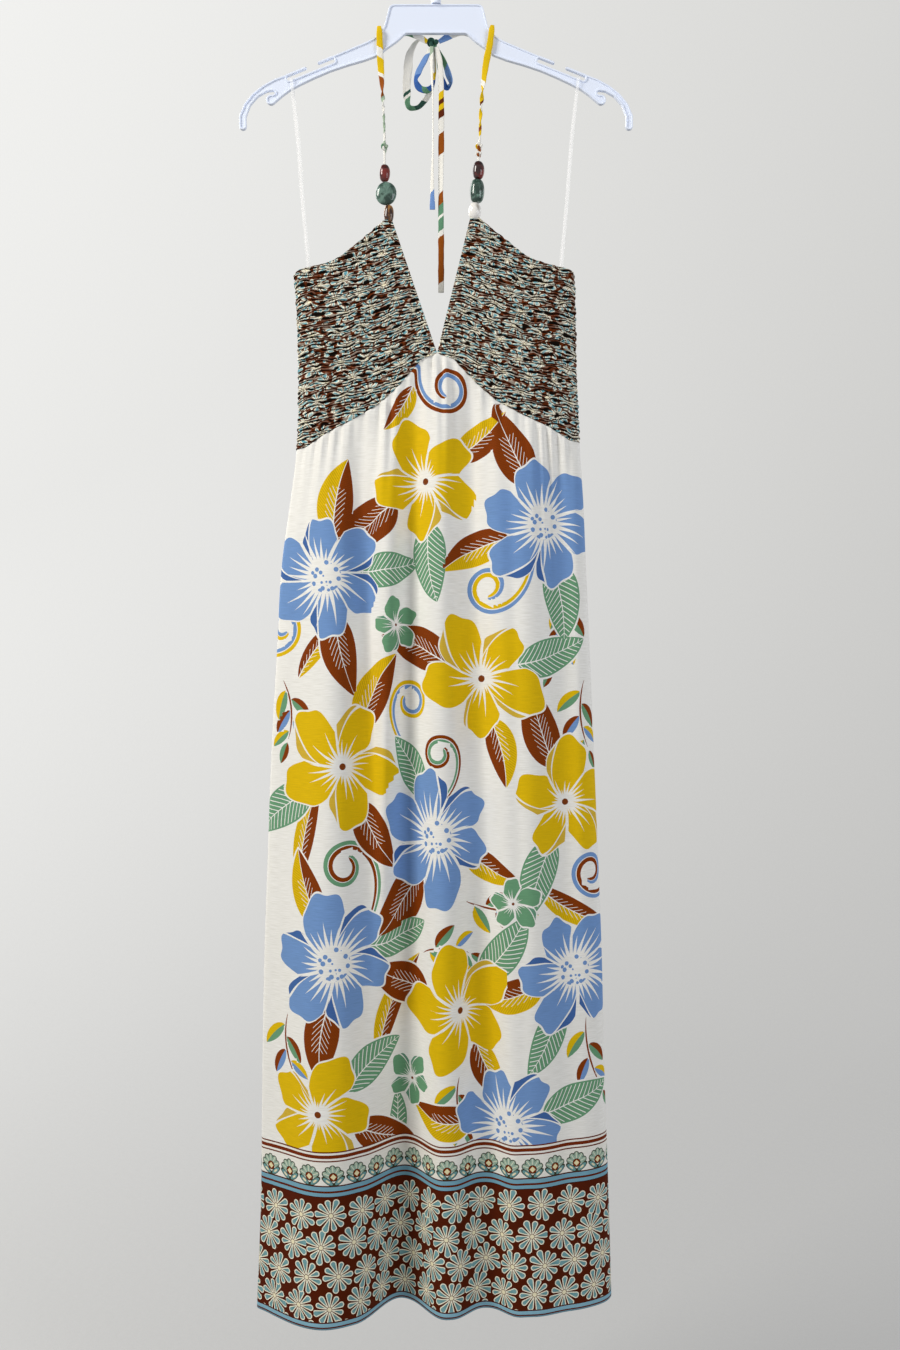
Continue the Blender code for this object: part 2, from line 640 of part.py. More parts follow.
def make_hook(group):
    """The hook: a round rod that rises from a collar on the plate and bends over the rail."""
    centre_drop = HOOK_RADIUS - HOOK_WIRE / 2
    foot = 61.5 * MM - SEAM_GAP
    stem = [
        (0, -foot, 1.8),
        (0, -foot + 5 * MM, 1.8),
        (0, -foot + 6 * MM, 1.0),
        (0.4 * MM, -51 * MM, 1.0),
        (3 * MM, -46 * MM, 1.0),
        (9 * MM, -41 * MM, 1.0),
    ]
    turns = np.radians(np.linspace(-42, 205, 22))
    bend = [(HOOK_RADIUS * math.cos(a), -centre_drop + HOOK_RADIUS * math.sin(a), 1.0) for a in turns]
    curve = bpy.data.curves.new("hanger_hook", "CURVE")
    curve.dimensions = "3D"
    curve.bevel_depth = HOOK_WIRE / 2
    curve.bevel_resolution = 2
    curve.use_fill_caps = True
    spline = curve.splines.new("POLY")
    spline.points.add(len(stem) + len(bend) - 1)
    for point, (x, z, thickness) in zip(spline.points, stem + bend):
        point.co = (x, 0, z, 1)
        point.radius = thickness
    return add("hanger_hook", curve, "pale_polypropylene", group)


def other_side(rows):
    """The right-hand copy of a hanging loop's route, a little nearer the centre line and so higher."""
    return [(-x - 2.4, y, drop - 1.0, *rest) for x, y, drop, *rest in rows]


def main():
    clear_scene()
    group = bpy.data.collections.new("maxi_dress_on_hanger")
    bpy.context.scene.collection.children.link(group)
    make_hanger(group)
    make_hook(group)
    make_cup("left", group)
    make_cup("right", group)
    make_bodice_back(group)
    make_skirt("front", FRONT_STEPS, group)
    make_skirt("back", BACK_STEPS, group)
    make_ribbon("halter_strap_left", STRAP_LEFT, "yellow_strap_cloth", group)
    make_ribbon("halter_strap_right", STRAP_RIGHT, "yellow_strap_cloth", group)
    make_ball("bow_knot", KNOT, KNOT_SIZE, "green_strap_cloth", group)
    make_ribbon("bow_loop_left", LOOP_LEFT, "white_strap_cloth", group)
    make_ribbon("bow_loop_inner", LOOP_INNER, "blue_strap_cloth", group)
    make_ribbon("bow_loop_right", LOOP_RIGHT, "green_strap_cloth", group)
    make_ribbon("tie_tail_long", TAIL_LONG, "white_strap_cloth", group)
    make_ribbon("tie_tail_short", TAIL_SHORT, "blue_strap_cloth", group)
    make_beads(group)
    make_ribbon("hanging_loop_left", HANGING_LEFT, "clear_elastic", group, steps_each=1)
    make_ribbon("hanging_loop_right", other_side(HANGING_LEFT), "clear_elastic", group, steps_each=1)


main()
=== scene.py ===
"""A halter maxi dress with a smocked bodice, on a moulded hanger. Metres, +Z up, its front towards -Y."""

import math
from functools import partial

import bmesh
import bpy
import numpy as np
from mathutils import Matrix


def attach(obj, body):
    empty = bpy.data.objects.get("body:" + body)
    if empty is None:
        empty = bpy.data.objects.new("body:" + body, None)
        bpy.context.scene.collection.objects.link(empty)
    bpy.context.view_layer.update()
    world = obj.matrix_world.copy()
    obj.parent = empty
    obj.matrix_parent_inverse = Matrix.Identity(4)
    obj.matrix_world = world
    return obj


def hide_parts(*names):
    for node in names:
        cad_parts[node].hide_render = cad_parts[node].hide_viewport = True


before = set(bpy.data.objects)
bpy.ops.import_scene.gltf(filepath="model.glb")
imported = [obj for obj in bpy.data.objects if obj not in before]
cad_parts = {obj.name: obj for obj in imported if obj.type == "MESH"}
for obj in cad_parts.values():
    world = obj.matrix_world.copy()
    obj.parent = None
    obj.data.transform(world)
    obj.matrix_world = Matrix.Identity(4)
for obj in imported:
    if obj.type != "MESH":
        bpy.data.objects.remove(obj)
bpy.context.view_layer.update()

# ---------------------------------------------------------------------------------------------------
# Studio. The dress hangs free in front of a pale paper sweep, with a large window-like light on its
# left, a weaker one on its right and two behind it.
# ---------------------------------------------------------------------------------------------------
VIEW_HEIGHT = -0.799
VIEW_ACROSS = 0.0154
VIEW_DISTANCE = 1.3
LENS_MM = 31.5
SWEEP_FLOOR = -1.75
SWEEP_RADIUS = 3.4
SWEEP_BEND = 1.7
SWEEP_TOP = 3.2
LIGHT_COLUMNS = ("x", "y", "z", "width", "height", "watts", "tint")
LIGHTS = (
    (-2.2, -1.3, 0.75, 0.9, 1.4, 71, "FFFBF4"),
    (1.55, -1.35, -0.35, 1.0, 1.5, 15.5, "F6F8FF"),
    (-1.9, 1.7, 0.8, 1.4, 1.8, 26, "FFFFFF"),
    (2.4, 1.2, -0.1, 1.6, 2.0, 10, "F6F8FF"),
)
CEILING_STRENGTH = 0.36


def linear(code):
    """Linear RGBA of an sRGB hex code: each channel to the power 2.4, with a straight toe."""
    srgb = np.array([int(code[i : i + 2], 16) for i in (0, 2, 4)]) / 255
    straight = srgb / 12.92
    curved = ((srgb + 0.055) / 1.055) ** 2.4
    return (*np.where(srgb <= 0.04045, straight, curved).tolist(), 1.0)


def add_node(tree, kind, *inputs, at=None, out=0, **settings):
    """Adds one node and returns its output. A kind in capitals is a Math operation, any other is the name
    of a shader node. inputs fill the sockets at the given places, in order: sockets are linked, values
    are set, and None is left alone."""
    node = tree.nodes.new("ShaderNodeMath" if kind.isupper() else "ShaderNode" + kind)
    if kind.isupper():
        node.operation = kind
    for name, value in settings.items():
        setattr(node, name, value)
    for place, value in zip(at or range(len(inputs)), inputs):
        if isinstance(value, bpy.types.NodeSocket):
            tree.links.new(value, node.inputs[place])
        elif value is not None:
            node.inputs[place].default_value = value
    return node.outputs[out]


# Settings and places of a Mix node that mixes two colours by a share.
MIX = {"at": (0, 6, 7), "out": 2, "data_type": "RGBA"}


def new_material(name, **surface):
    """A material with its Principled BSDF set up; returns it, its node tree and the shader."""
    made = bpy.data.materials.new(name)
    made.use_nodes = True
    shader = made.node_tree.nodes["Principled BSDF"]
    for socket, value in surface.items():
        shader.inputs[socket.replace("_", " ")].default_value = value
    return made, made.node_tree, shader


def grid_quads(index):
    """The quads of a grid of vertex numbers."""
    corners = (index[:-1, :-1], index[:-1, 1:], index[1:, 1:], index[1:, :-1])
    return np.stack(corners, axis=-1).reshape(-1, 4)


def ring_mesh(name, rings, closed=False, caps=False):
    """A mesh over rings of points. closed joins the last ring to the first, and caps fills both of them."""
    rows, columns = rings.shape[:2]
    index = np.arange(rows * columns).reshape(rows, columns)
    index = np.concatenate([index, index[:, :1]], axis=1)
    if closed:
        index = np.concatenate([index, index[:1]], axis=0)
    faces = grid_quads(index).tolist()
    if caps:
        faces += [index[0, :-1][::-1].tolist(), index[-1, :-1].tolist()]
    mesh = bpy.data.meshes.new(name)
    mesh.from_pydata(rings.reshape(-1, 3).tolist(), [], faces)
    mesh.shade_smooth()
    if caps:
        mesh.set_sharp_from_angle(angle=math.radians(75))
    return mesh


def sweep_surface():
    """The paper sweep: a floor, a quarter round of SWEEP_BEND and a wall, turned about the Z axis."""
    bend = np.linspace(0, math.pi / 2, 24)
    flat = SWEEP_RADIUS - SWEEP_BEND
    radius = np.concatenate([[0.002, flat / 2], flat + SWEEP_BEND * np.sin(bend), [SWEEP_RADIUS]])
    height = np.concatenate([[0, 0], SWEEP_BEND * (1 - np.cos(bend)), [SWEEP_TOP - SWEEP_FLOOR]])
    turn = np.linspace(0, 2 * math.pi, 96, endpoint=False)
    return np.stack(
        [
            radius[:, None] * np.cos(turn),
            radius[:, None] * np.sin(turn),
            height[:, None] + SWEEP_FLOOR + 0 * turn,
        ],
        axis=-1,
    )


# Matt seamless paper. Part of its tone is a steady glow of 0.44 + 0.095 * distance from the middle
# - 0.09 * x + 0.062 * z, brighter up on the window's side, which keeps the bend to the floor out of sight.
paper, paper_tree, paper_shader = new_material("matt_paper", Roughness=0.9)
paper_shader.inputs["Base Color"].default_value = linear("8A8A8A")
paper_shader.inputs["Emission Color"].default_value = linear("DEDEDC")
paper_place = add_node(paper_tree, "TexCoord", out=3)
paper_x = add_node(paper_tree, "SeparateXYZ", paper_place)
paper_y, paper_z = paper_x.node.outputs[1:]
squares = add_node(paper_tree, "MULTIPLY", paper_y, paper_y)
squares = add_node(paper_tree, "MULTIPLY_ADD", paper_x, paper_x, squares)
glow = add_node(paper_tree, "MULTIPLY_ADD", add_node(paper_tree, "SQRT", squares), 0.095, 0.44)
glow = add_node(paper_tree, "MULTIPLY_ADD", paper_x, -0.09, glow)
glow = add_node(paper_tree, "MULTIPLY_ADD", paper_z, 0.062, glow)
paper_tree.links.new(glow, paper_shader.inputs["Emission Strength"])
fibres = add_node(paper_tree, "TexNoise", paper_place, 60.0, 3.0, at=(0, 2, 3))
relief = add_node(paper_tree, "Bump", 0.3, 0.004, fibres, at=(0, 1, 3))
paper_tree.links.new(relief, paper_shader.inputs["Normal"])
sweep = bpy.data.objects.new("paper_sweep", ring_mesh("paper_sweep", sweep_surface()))
sweep.data.materials.append(paper)
sweep.visible_diffuse = False
sweep.visible_shadow = False
bpy.context.scene.collection.objects.link(sweep)

for row in LIGHTS:
    light = dict(zip(LIGHT_COLUMNS, row))
    lamp = bpy.data.lights.new("softbox", "AREA")
    lamp.shape = "RECTANGLE"
    lamp.size, lamp.size_y = light["width"], light["height"]
    lamp.energy = light["watts"]
    lamp.color = linear(light["tint"])[:3]
    softbox = bpy.data.objects.new("softbox", lamp)
    softbox.location = (light["x"], light["y"], light["z"])
    away = -softbox.location.copy()
    away.z += VIEW_HEIGHT
    softbox.rotation_euler = away.to_track_quat("-Z", "Y").to_euler()
    softbox.visible_camera = False
    bpy.context.scene.collection.objects.link(softbox)

sky = bpy.data.worlds.new("studio_ceiling")
sky.use_nodes = True
sky.node_tree.nodes["Background"].inputs["Color"].default_value = linear("FAFAF8")
sky.node_tree.nodes["Background"].inputs["Strength"].default_value = CEILING_STRENGTH
bpy.context.scene.world = sky
bpy.context.scene.view_settings.view_transform = "Standard"

lens = bpy.data.cameras.new("camera")
lens.lens = LENS_MM
camera = bpy.data.objects.new("camera", lens)
camera.location = (VIEW_ACROSS, -VIEW_DISTANCE, VIEW_HEIGHT)
camera.rotation_euler = (math.radians(90), 0, 0)
bpy.context.scene.collection.objects.link(camera)
bpy.context.scene.camera = camera

# ---------------------------------------------------------------------------------------------------
# Beads. Three to each side, of cast resin and polished stone, drilled lengthwise and threaded on the
# tie's cord over the cup's point, where they rest on each other.
# ---------------------------------------------------------------------------------------------------
MM = 0.001
# Each bead from the bottom up, in mm: x is its middle, and bulge the power of its outline, fuller below 1.
BEAD_COLUMNS = ("side", "place", "x", "width", "depth", "height", "bulge", "finish")
BEADS = (
    ("left", "bottom", -51.5, 11, 9, 19.0, 0.75, "amber"),
    ("left", "middle", -54.5, 23, 10, 25.0, 1.0, "green"),
    ("left", "top", -56.0, 12, 11, 18.6, 0.85, "garnet"),
    ("right", "bottom", 42.5, 14, 13, 18.7, 0.9, "shell"),
    ("right", "middle", 45.0, 16, 15, 25.0, 0.6, "green"),
    ("right", "top", 46.5, 13, 12, 19.6, 0.85, "garnet"),
)
BEAD_Y = -9 * MM
BEAD_HOLE = 1.1 * MM
BEAD_RINGS = 22
BEAD_SIDES = 36
SEAM_GAP = 0.3 * MM
# The cups' points, which the beads rest on, are APEX_DROP below the hook, and APEX_SKEW lower on the left.
APEX_DROP = 303.5 * MM
APEX_SKEW = 1.5 * MM
# Dark and light tone, roughness, clouds to a metre, and how they are drawn out along the bead.
BEAD_FINISHES = {
    "garnet": ("280302", "74140A", 0.05, 60.0, 0.8),
    "green": ("1E3A31", "658578", 0.1, 130.0, 0.6),
    "amber": ("321204", "A87438", 0.07, 170.0, 0.4),
    "shell": ("EDEBE6", "A39D92", 0.1, 70.0, 0.5),
}


def make_piece(mesh, material, slot, *nodes):
    """Puts a finished mesh into the scene on the dress's body, in place of its CAD nodes."""
    piece = bpy.data.objects.new(mesh.name, mesh)
    bpy.context.scene.collection.objects.link(piece)
    mesh.materials.append(material)
    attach(piece, "root")
    if nodes:
        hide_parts(*nodes)
    return piece


def bead_surface(centre, width, depth, height, bulge):
    """A drilled bead, closed both ways: an outer half round of sin^bulge with slight dents, flattened from
    front to back, and the hole's wall inside."""
    outer = np.linspace(0, math.pi, BEAD_RINGS)
    swell = np.sin(outer) ** bulge
    radius = np.concatenate([BEAD_HOLE + (width / 2 - BEAD_HOLE) * swell, [BEAD_HOLE] * 3])
    level = np.concatenate([-np.cos(outer) * height / 2, height * np.array((0.25, 0.0, -0.25))])
    flatness = np.where(radius > BEAD_HOLE, depth / width, 1)[:, None]
    turn = np.linspace(0, 2 * math.pi, BEAD_SIDES, endpoint=False)
    dent = 1 + 0.025 * np.sin(3 * turn + 1) * np.sin(4 * level[:, None] / height)
    x = centre[0] + radius[:, None] * np.cos(turn) * dent
    y = centre[1] + radius[:, None] * np.sin(turn) * dent * flatness
    return np.stack([x, y, centre[2] + level[:, None] + 0 * x], axis=-1)


def bead_material(finish):
    """Cast resin or polished stone: two tones in clouds and veins under a clear polish."""
    dark, light, roughness, scale, drawn = BEAD_FINISHES[finish]
    name = finish + "_polished_stone"
    made, tree, shader = new_material(name, Roughness=roughness, IOR=1.5, Coat_Weight=0.15)
    place = add_node(tree, "TexCoord", out=3)
    place = add_node(tree, "Mapping", place, (1.0, 1.0, drawn), at=(0, 3))
    cloud = add_node(tree, "TexNoise", place, scale, 5.0, 0.6, 0.8, at=(0, 2, 3, 4, 8))
    tone = add_node(tree, "MapRange", cloud, 0.44, 0.6)
    colour = add_node(tree, "Mix", tone, linear(dark), linear(light), **MIX)
    tree.links.new(colour, shader.inputs["Base Color"])
    return made


bead_materials = {finish: bead_material(finish) for finish in BEAD_FINISHES}
bead_pieces = {"left": [], "right": []}
rest = {"left": APEX_DROP + APEX_SKEW, "right": APEX_DROP - APEX_SKEW}
for row in BEADS:
    bead = dict(zip(BEAD_COLUMNS, row))
    side, height = bead["side"], bead["height"] * MM
    centre = (bead["x"] * MM, BEAD_Y, -(rest[side] - SEAM_GAP - height / 2))
    rest[side] += -SEAM_GAP - height
    node = f"bead_{side}_{bead['place']}"
    points = bead_surface(centre, bead["width"] * MM, bead["depth"] * MM, height, bead["bulge"])
    mesh = ring_mesh(node + "_polished", points, closed=True)
    piece = make_piece(mesh, bead_materials[bead["finish"]], bead["finish"] + "_bead", node)
    bead_pieces[side].append(piece)

# ---------------------------------------------------------------------------------------------------
# Halter ties. Each is a narrow bias strip, sewn and turned into a flat tube of printed viscose. It is
# knotted above the beads, goes over the hanger and is tied in a bow behind it, with two free tails.
# ---------------------------------------------------------------------------------------------------
TIE_STEPS = 7
TIE_SIDES = 16
KNOT_STEPS = 90
KNOT_SIDES = 12
CORD_SIDES = 10
CORD_STEPS = 20
CORD_WIDTH = 1.5 * MM
# Points along each tie in mm, with its size there and how many turns it has twisted. drop is below the hook.
TIE_COLUMNS = ("x", "y", "drop", "width", "thickness", "turns")
STRAP_LEFT = (
    (-56.0, -9.0, 241.2, 2.4, 2.2, 0),
    (-56.0, -8.8, 231, 2.4, 2.2, 0),
    (-56.0, -8.6, 223, 3.4, 3.0, 0),
    (-56.0, -8.2, 214, 2.8, 2.4, 0.25),
    (-57.0, -7.0, 188, 3.4, 1.9, 1.5),
    (-58.5, -6.0, 160, 5.2, 1.6, 2.75),
    (-60.5, -5.0, 132, 7.0, 1.3, 3),
    (-61.8, -4.1, 104, 7.0, 1.3, 3),
    (-62.2, -4.1, 90.5, 5.5, 1.3, 3),
    (-62.8, 0.0, 85.4, 4.5, 1.3, 3),
    (-62.2, 4.1, 90.5, 5.5, 1.3, 3),
    (-58.5, 4.2, 95.5, 7.0, 1.3, 3),
    (-49.0, 4.2, 94.5, 7.0, 1.3, 3),
    (-32.0, 4.4, 90.0, 7.0, 1.3, 3),
    (-19.0, 6.0, 93.5, 7.0, 1.3, 3),
    (-10.1, 8.0, 98.0, 5.0, 1.3, 3),
)
STRAP_RIGHT = (
    (46.5, -9.0, 237.5, 2.4, 2.2, 0),
    (46.7, -8.8, 235.5, 2.4, 2.2, 0),
    (47.0, -8.7, 230, 3.2, 2.8, 0),
    (47.6, -8.5, 222, 3.2, 2.8, 0),
    (48.0, -8.1, 213, 3.0, 2.2, 0.2),
    (49.0, -7.0, 185, 4.4, 1.9, 1.0),
    (51.5, -6.0, 155, 5.5, 1.6, 1.85),
    (55.0, -5.0, 128, 7.0, 1.3, 2),
    (59.5, -4.1, 104, 7.0, 1.3, 2),
    (61.4, -4.1, 89.5, 5.5, 1.3, 2),
    (62.0, 0.0, 84.4, 4.5, 1.3, 2),
    (61.4, 4.1, 89.5, 5.5, 1.3, 2),
    (57.0, 4.2, 95, 7.0, 1.3, 2),
    (47.0, 4.2, 94, 7.0, 1.3, 2),
    (27.0, 4.4, 89.5, 7.0, 1.3, 2),
    (13.0, 6.0, 93.5, 7.0, 1.3, 2),
    (3.1, 8.0, 98.0, 5.0, 1.3, 2),
)
LOOP_LEFT = (
    (-8.6, 12.6, 95.5, 5, 1.2, 0),
    (-19, 13.2, 93, 7, 1.2, 0.12),
    (-27.5, 13.5, 104, 8.5, 1.2, 0.05),
    (-31.5, 13.5, 128, 9.5, 1.2, 0),
    (-32.5, 13.5, 152, 8.5, 1.2, 0.04),
    (-29.0, 14.5, 168, 7, 1.2, 0.17),
    (-22.0, 16.5, 167, 7, 1.2, 0.2),
    (-12.0, 18.0, 157, 7, 1.2, 0.14),
    (-5.0, 18.0, 146, 7, 1.2, 0.18),
    (-3.0, 17.0, 125, 7, 1.2, 0.1),
    (-3.6, 13.8, 104.4, 5, 1.2, 0),
)
LOOP_INNER = (
    (-6.4, 10.4, 104.2, 5, 1.2, 0.1),
    (-12.5, 9.5, 117, 6.5, 1.2, 0.04),
    (-19.5, 9.0, 131, 7, 1.2, 0.02),
    (-22.5, 9.5, 141, 6.5, 1.2, 0.14),
    (-17.5, 10.5, 148.5, 7, 1.2, 0.04),
    (-8.5, 11.0, 149.5, 7, 1.2, 0.1),
    (-3.0, 11.0, 143, 6, 1.2, 0.2),
    (-2.5, 11.0, 125, 6, 1.2, 0.17),
    (-2.6, 9.8, 105.2, 4, 1.2, 0.1),
)
LOOP_RIGHT = (
    (0.8, 10.9, 103.2, 4, 1.2, 0.15),
    (8.0, 12.0, 116, 6, 1.2, 0.14),
    (13.5, 13.0, 131, 7, 1.2, 0.05),
    (16.0, 15.0, 141, 7, 1.2, 0.15),
    (12.5, 18.0, 144, 7, 1.2, 0.05),
    (7.0, 18.5, 134, 7, 1.2, 0.1),
    (2.5, 17.0, 118, 6, 1.2, 0.15),
    (1.4, 13.4, 103.0, 4, 1.2, 0.15),
)
TAIL_LONG = (
    (0.4, 7.7, 103.8, 5, 1.2, 0),
    (4.0, 6.5, 120, 6, 1.2, 0),
    (5.5, 6.0, 150, 6, 1.2, 0),
    (5.8, 6.0, 200, 6.5, 1.2, 0),
    (5.2, 6.5, 260, 6, 1.2, 0.08),
    (5.6, 6.5, 320, 6.5, 1.2, 0),
    (5.5, 7.0, 376, 6.5, 1.2, 0),
)
TAIL_SHORT = (
    (-4.8, 5.8, 104.2, 4, 1.2, 0),
    (-5.0, 4.5, 122, 4, 1.2, 0.1),
    (-3.6, 4.0, 160, 3.4, 1.2, 0.2),
    (-3.4, 4.0, 210, 3.4, 1.2, 0.2),
    (-4.2, 4.5, 250, 4, 1.2, 0.1),
    (-4.0, 4.5, 285, 6, 1.2, 0),
)
TIE_INKS = {
    "white": "EFEDE6",
    "yellow": "E3BE12",
    "rust": "944C0C",
    "brown": "5E2409",
    "blue": "6F93CC",
    "deep_blue": "3A64AC",
    "green": "5F8F70",
    "deep_green": "2E5247",
    "sage": "A3B7A0",
}
# What the bias strip's print shows, by distance along the tie in mm: each ink runs on to the next.
BANDS_LEFT = (
    (0, "white"), (14, "sage"), (24, "white"), (38, "sage"), (58, "white"), (70, "sage"),
    (78, "rust"), (98, "white"), (102, "yellow"), (119, "white"), (131, "yellow"), (172, "white"),
    (184, "green"), (205, "white"), (220, "yellow"),
)
BANDS_RIGHT = (
    (0, "white"), (8, "rust"), (16, "white"), (26, "yellow"), (34, "rust"), (40, "yellow"), (56, "white"),
    (62, "brown"), (68, "yellow"), (84, "white"), (90, "yellow"), (176, "rust"), (190, "white"),
    (215, "blue"),
)
BANDS_LOOP_LEFT = (
    (0, "white"), (73, "deep_green"), (77, "white"), (81, "green"), (98, "deep_green"), (112, "white"),
    (135, "yellow"),
)
BANDS_LOOP_INNER = (
    (0, "white"), (8, "blue"), (34, "deep_blue"), (53, "green"), (60, "deep_blue"), (74, "yellow"),
    (82, "white"),
)
BANDS_LOOP_RIGHT = ((0, "deep_green"), (10, "green"), (24, "blue"), (46, "deep_blue"), (60, "green"))
BANDS_LONG = (
    (0, "white"), (52, "yellow"), (60, "brown"), (66, "yellow"), (72, "brown"), (80, "white"),
    (97, "rust"), (121, "white"), (164, "rust"), (176, "green"), (188, "white"), (191, "green"),
    (205, "white"), (212, "rust"), (263, "white"),
)
BANDS_SHORT = ((0, "sage"), (10, "white"), (162, "blue"))
BANDS_CORD = ((0, "white"), (80, "sage"))


def through(at, knots, values):
    """A smooth curve through a table's values: a cubic between neighbours, with their mean slopes."""
    slopes = np.gradient(values, knots)
    low = np.clip(np.searchsorted(knots, at) - 1, 0, len(knots) - 2)
    span = knots[low + 1] - knots[low]
    t = np.clip((at - knots[low]) / span, 0, 1)
    return (
        values[low] * (1 + 2 * t) * (1 - t) ** 2
        + values[low + 1] * t**2 * (3 - 2 * t)
        + span * t * (1 - t) * (slopes[low] * (1 - t) - slopes[low + 1] * t)
    )


def sides_along(route):
    """The across direction at each ring of a route: +X at its start, then turned only as the route is."""
    ahead = np.gradient(route, axis=0)
    ahead /= np.linalg.norm(ahead, axis=1, keepdims=True)
    side = np.array((1.0, 0.0, 0.0))
    found = []
    for direction in ahead:
        side = side - direction * (side @ direction)
        side /= np.linalg.norm(side)
        found.append(side)
    return ahead, np.array(found)


def profile(sides, flatness, squareness):
    """Places across and over of a closed profile, from -1 to 1: cos^flatness and sin^squareness, with
    the signs of the cosine and the sine."""
    angle = (np.arange(sides) + 0.5) * 2 * math.pi / sides
    wide = np.sign(np.cos(angle)) * np.abs(np.cos(angle)) ** flatness
    thick = np.sign(np.sin(angle)) * np.abs(np.sin(angle)) ** squareness
    return wide, thick


def carried(route, widths, thicknesses, turns, around, flatness=0.62, facing=False):
    """A flat tube: a profile carried along a route and turned by turns. With facing, its flat side starts
    out towards -Y everywhere."""
    ahead, side = sides_along(route)
    if facing:
        side = np.cross(ahead, (0.0, 1.0, 0.0))
        side /= np.linalg.norm(side, axis=1, keepdims=True)
    up = np.cross(ahead, side)
    twist = 2 * math.pi * np.asarray(turns)[:, None]
    across = side * np.cos(twist) + up * np.sin(twist)
    over = np.cross(ahead, across)
    wide, thick = profile(around, flatness, 0.9)
    return (
        route[:, None]
        + across[:, None] * (wide[:, None] * np.asarray(widths)[:, None, None] / 2)
        + over[:, None] * (thick[:, None] * np.asarray(thicknesses)[:, None, None] / 2)
    )


def write_uv(mesh, name, values):
    """A UV map with one value per face corner."""
    layer = mesh.uv_layers.new(name=name)
    layer.data.foreach_set("uv", np.ascontiguousarray(values, dtype=np.float32).reshape(-1))


def along_uv(mesh, distance, around):
    """UVs of a tube: u is the share of the way round, which ends at 1 and not at 0, and v the distance
    along."""
    vertex = np.empty(len(mesh.loops), np.int32)
    mesh.loops.foreach_get("vertex_index", vertex)
    side = vertex % around
    corner = np.arange(len(mesh.loops)) % 4
    at_end = (side == 0) & ((corner == 1) | (corner == 2))
    write_uv(mesh, "along", np.stack([side / around + at_end, distance[vertex // around]], axis=-1))


def tie_material(name, bands, length):
    """Turned viscose strip: matt and soft, with the print's inks in bands that slant by 3 mm, as the bias
    does, and have edges uneven by 2 mm, and a fine weave of threads 0.45 mm apart."""
    made, tree, shader = new_material(name, Roughness=0.75, Specular_IOR_Level=0.08)
    place = add_node(tree, "UVMap", uv_map="along")
    u = add_node(tree, "SeparateXYZ", place)
    v = u.node.outputs[1]
    slant = add_node(tree, "COSINE", add_node(tree, "MULTIPLY", u, 2 * math.pi))
    slant = add_node(tree, "MULTIPLY", slant, 3 * MM)
    wander = add_node(tree, "TexNoise", place, 900.0, at=(0, 2))
    wander = add_node(tree, "MULTIPLY", wander, 2 * MM)
    slanted = add_node(tree, "ADD", add_node(tree, "ADD", v, slant), wander)
    ramp = add_node(tree, "ValToRGB", add_node(tree, "DIVIDE", slanted, length))
    stops = ramp.node.color_ramp
    stops.interpolation = "CONSTANT"
    stops.elements[0].position = 0
    stops.elements[0].color = linear(TIE_INKS[bands[0][1]])
    stops.elements.remove(stops.elements[1])
    for start, ink in bands[1:]:
        stops.elements.new(start * MM / length).color = linear(TIE_INKS[ink])
    threads = add_node(tree, "TexWave", place, 1400.0, 2.0, at=(0, 1, 2), bands_direction="DIAGONAL", out=1)
    shaded = add_node(tree, "Mix", 0.16, ramp, threads, blend_type="SOFT_LIGHT", **MIX)
    tree.links.new(shaded, shader.inputs["Base Color"])
    bump = add_node(tree, "Bump", 0.25, 0.2 * MM, threads, at=(0, 1, 3))
    tree.links.new(bump, shader.inputs["Normal"])
    return made


def travelled(points):
    """Distance along a line of points: the running sum of the lengths between neighbours."""
    return np.concatenate([[0], np.cumsum(np.linalg.norm(np.diff(points, axis=0), axis=1))])


def tie_route(rows, steps_each):
    """The smooth route, widths, thicknesses, turns and distances along a tie, from its table."""
    table = dict(zip(TIE_COLUMNS, np.array(rows, float).T))
    knots = np.array([table["x"], table["y"], -table["drop"]]).T * MM
    chord = travelled(knots)
    steps = np.linspace(0, len(rows) - 1, (len(rows) - 1) * steps_each + 1)
    at = np.interp(steps, np.arange(len(rows)), chord)
    route = np.stack([through(at, chord, knots[:, axis]) for axis in range(3)], axis=-1)
    widths, thicknesses = (through(at, chord, table[column] * MM) for column in ("width", "thickness"))
    turns = through(at, chord, table["turns"])
    return route, widths, thicknesses, turns, travelled(route)


def make_tie(node, rows, bands, slot, facing=False):
    """One turned strip over its CAD node, with its print and a slight ripple in its width: 1 + 0.05 sin +
    0.04 sin of the distance. Returns the piece, its route and its length."""
    route, widths, thicknesses, turns, distance = tie_route(rows, TIE_STEPS)
    ripple = 1 + 0.05 * np.sin(distance / (5.5 * MM)) + 0.04 * np.sin(distance / (2.3 * MM) + 1)
    points = carried(route, widths * ripple, thicknesses / ripple, turns, TIE_SIDES, facing=facing)
    mesh = ring_mesh(node + "_cloth", points, caps=True)
    along_uv(mesh, distance, TIE_SIDES)
    piece = make_piece(mesh, tie_material(node + "_bias_viscose", bands, distance[-1]), slot, node)
    return piece, route, distance[-1]


def knot_route(centre, size):
    """An overhand knot: x = sin t + 2 sin 2t, y = -sin 3t, z = cos t - 2 cos 2t, in the given size."""
    t = np.linspace(0.35, 2 * math.pi + 0.1, KNOT_STEPS)
    x = np.sin(t) + 2 * np.sin(2 * t)
    z = np.cos(t) - 2 * np.cos(2 * t)
    shape = np.stack([x, -np.sin(3 * t), z], axis=-1)
    return np.array(centre) + shape / np.array((5.6, 2.6, 5.6)) * np.array(size)


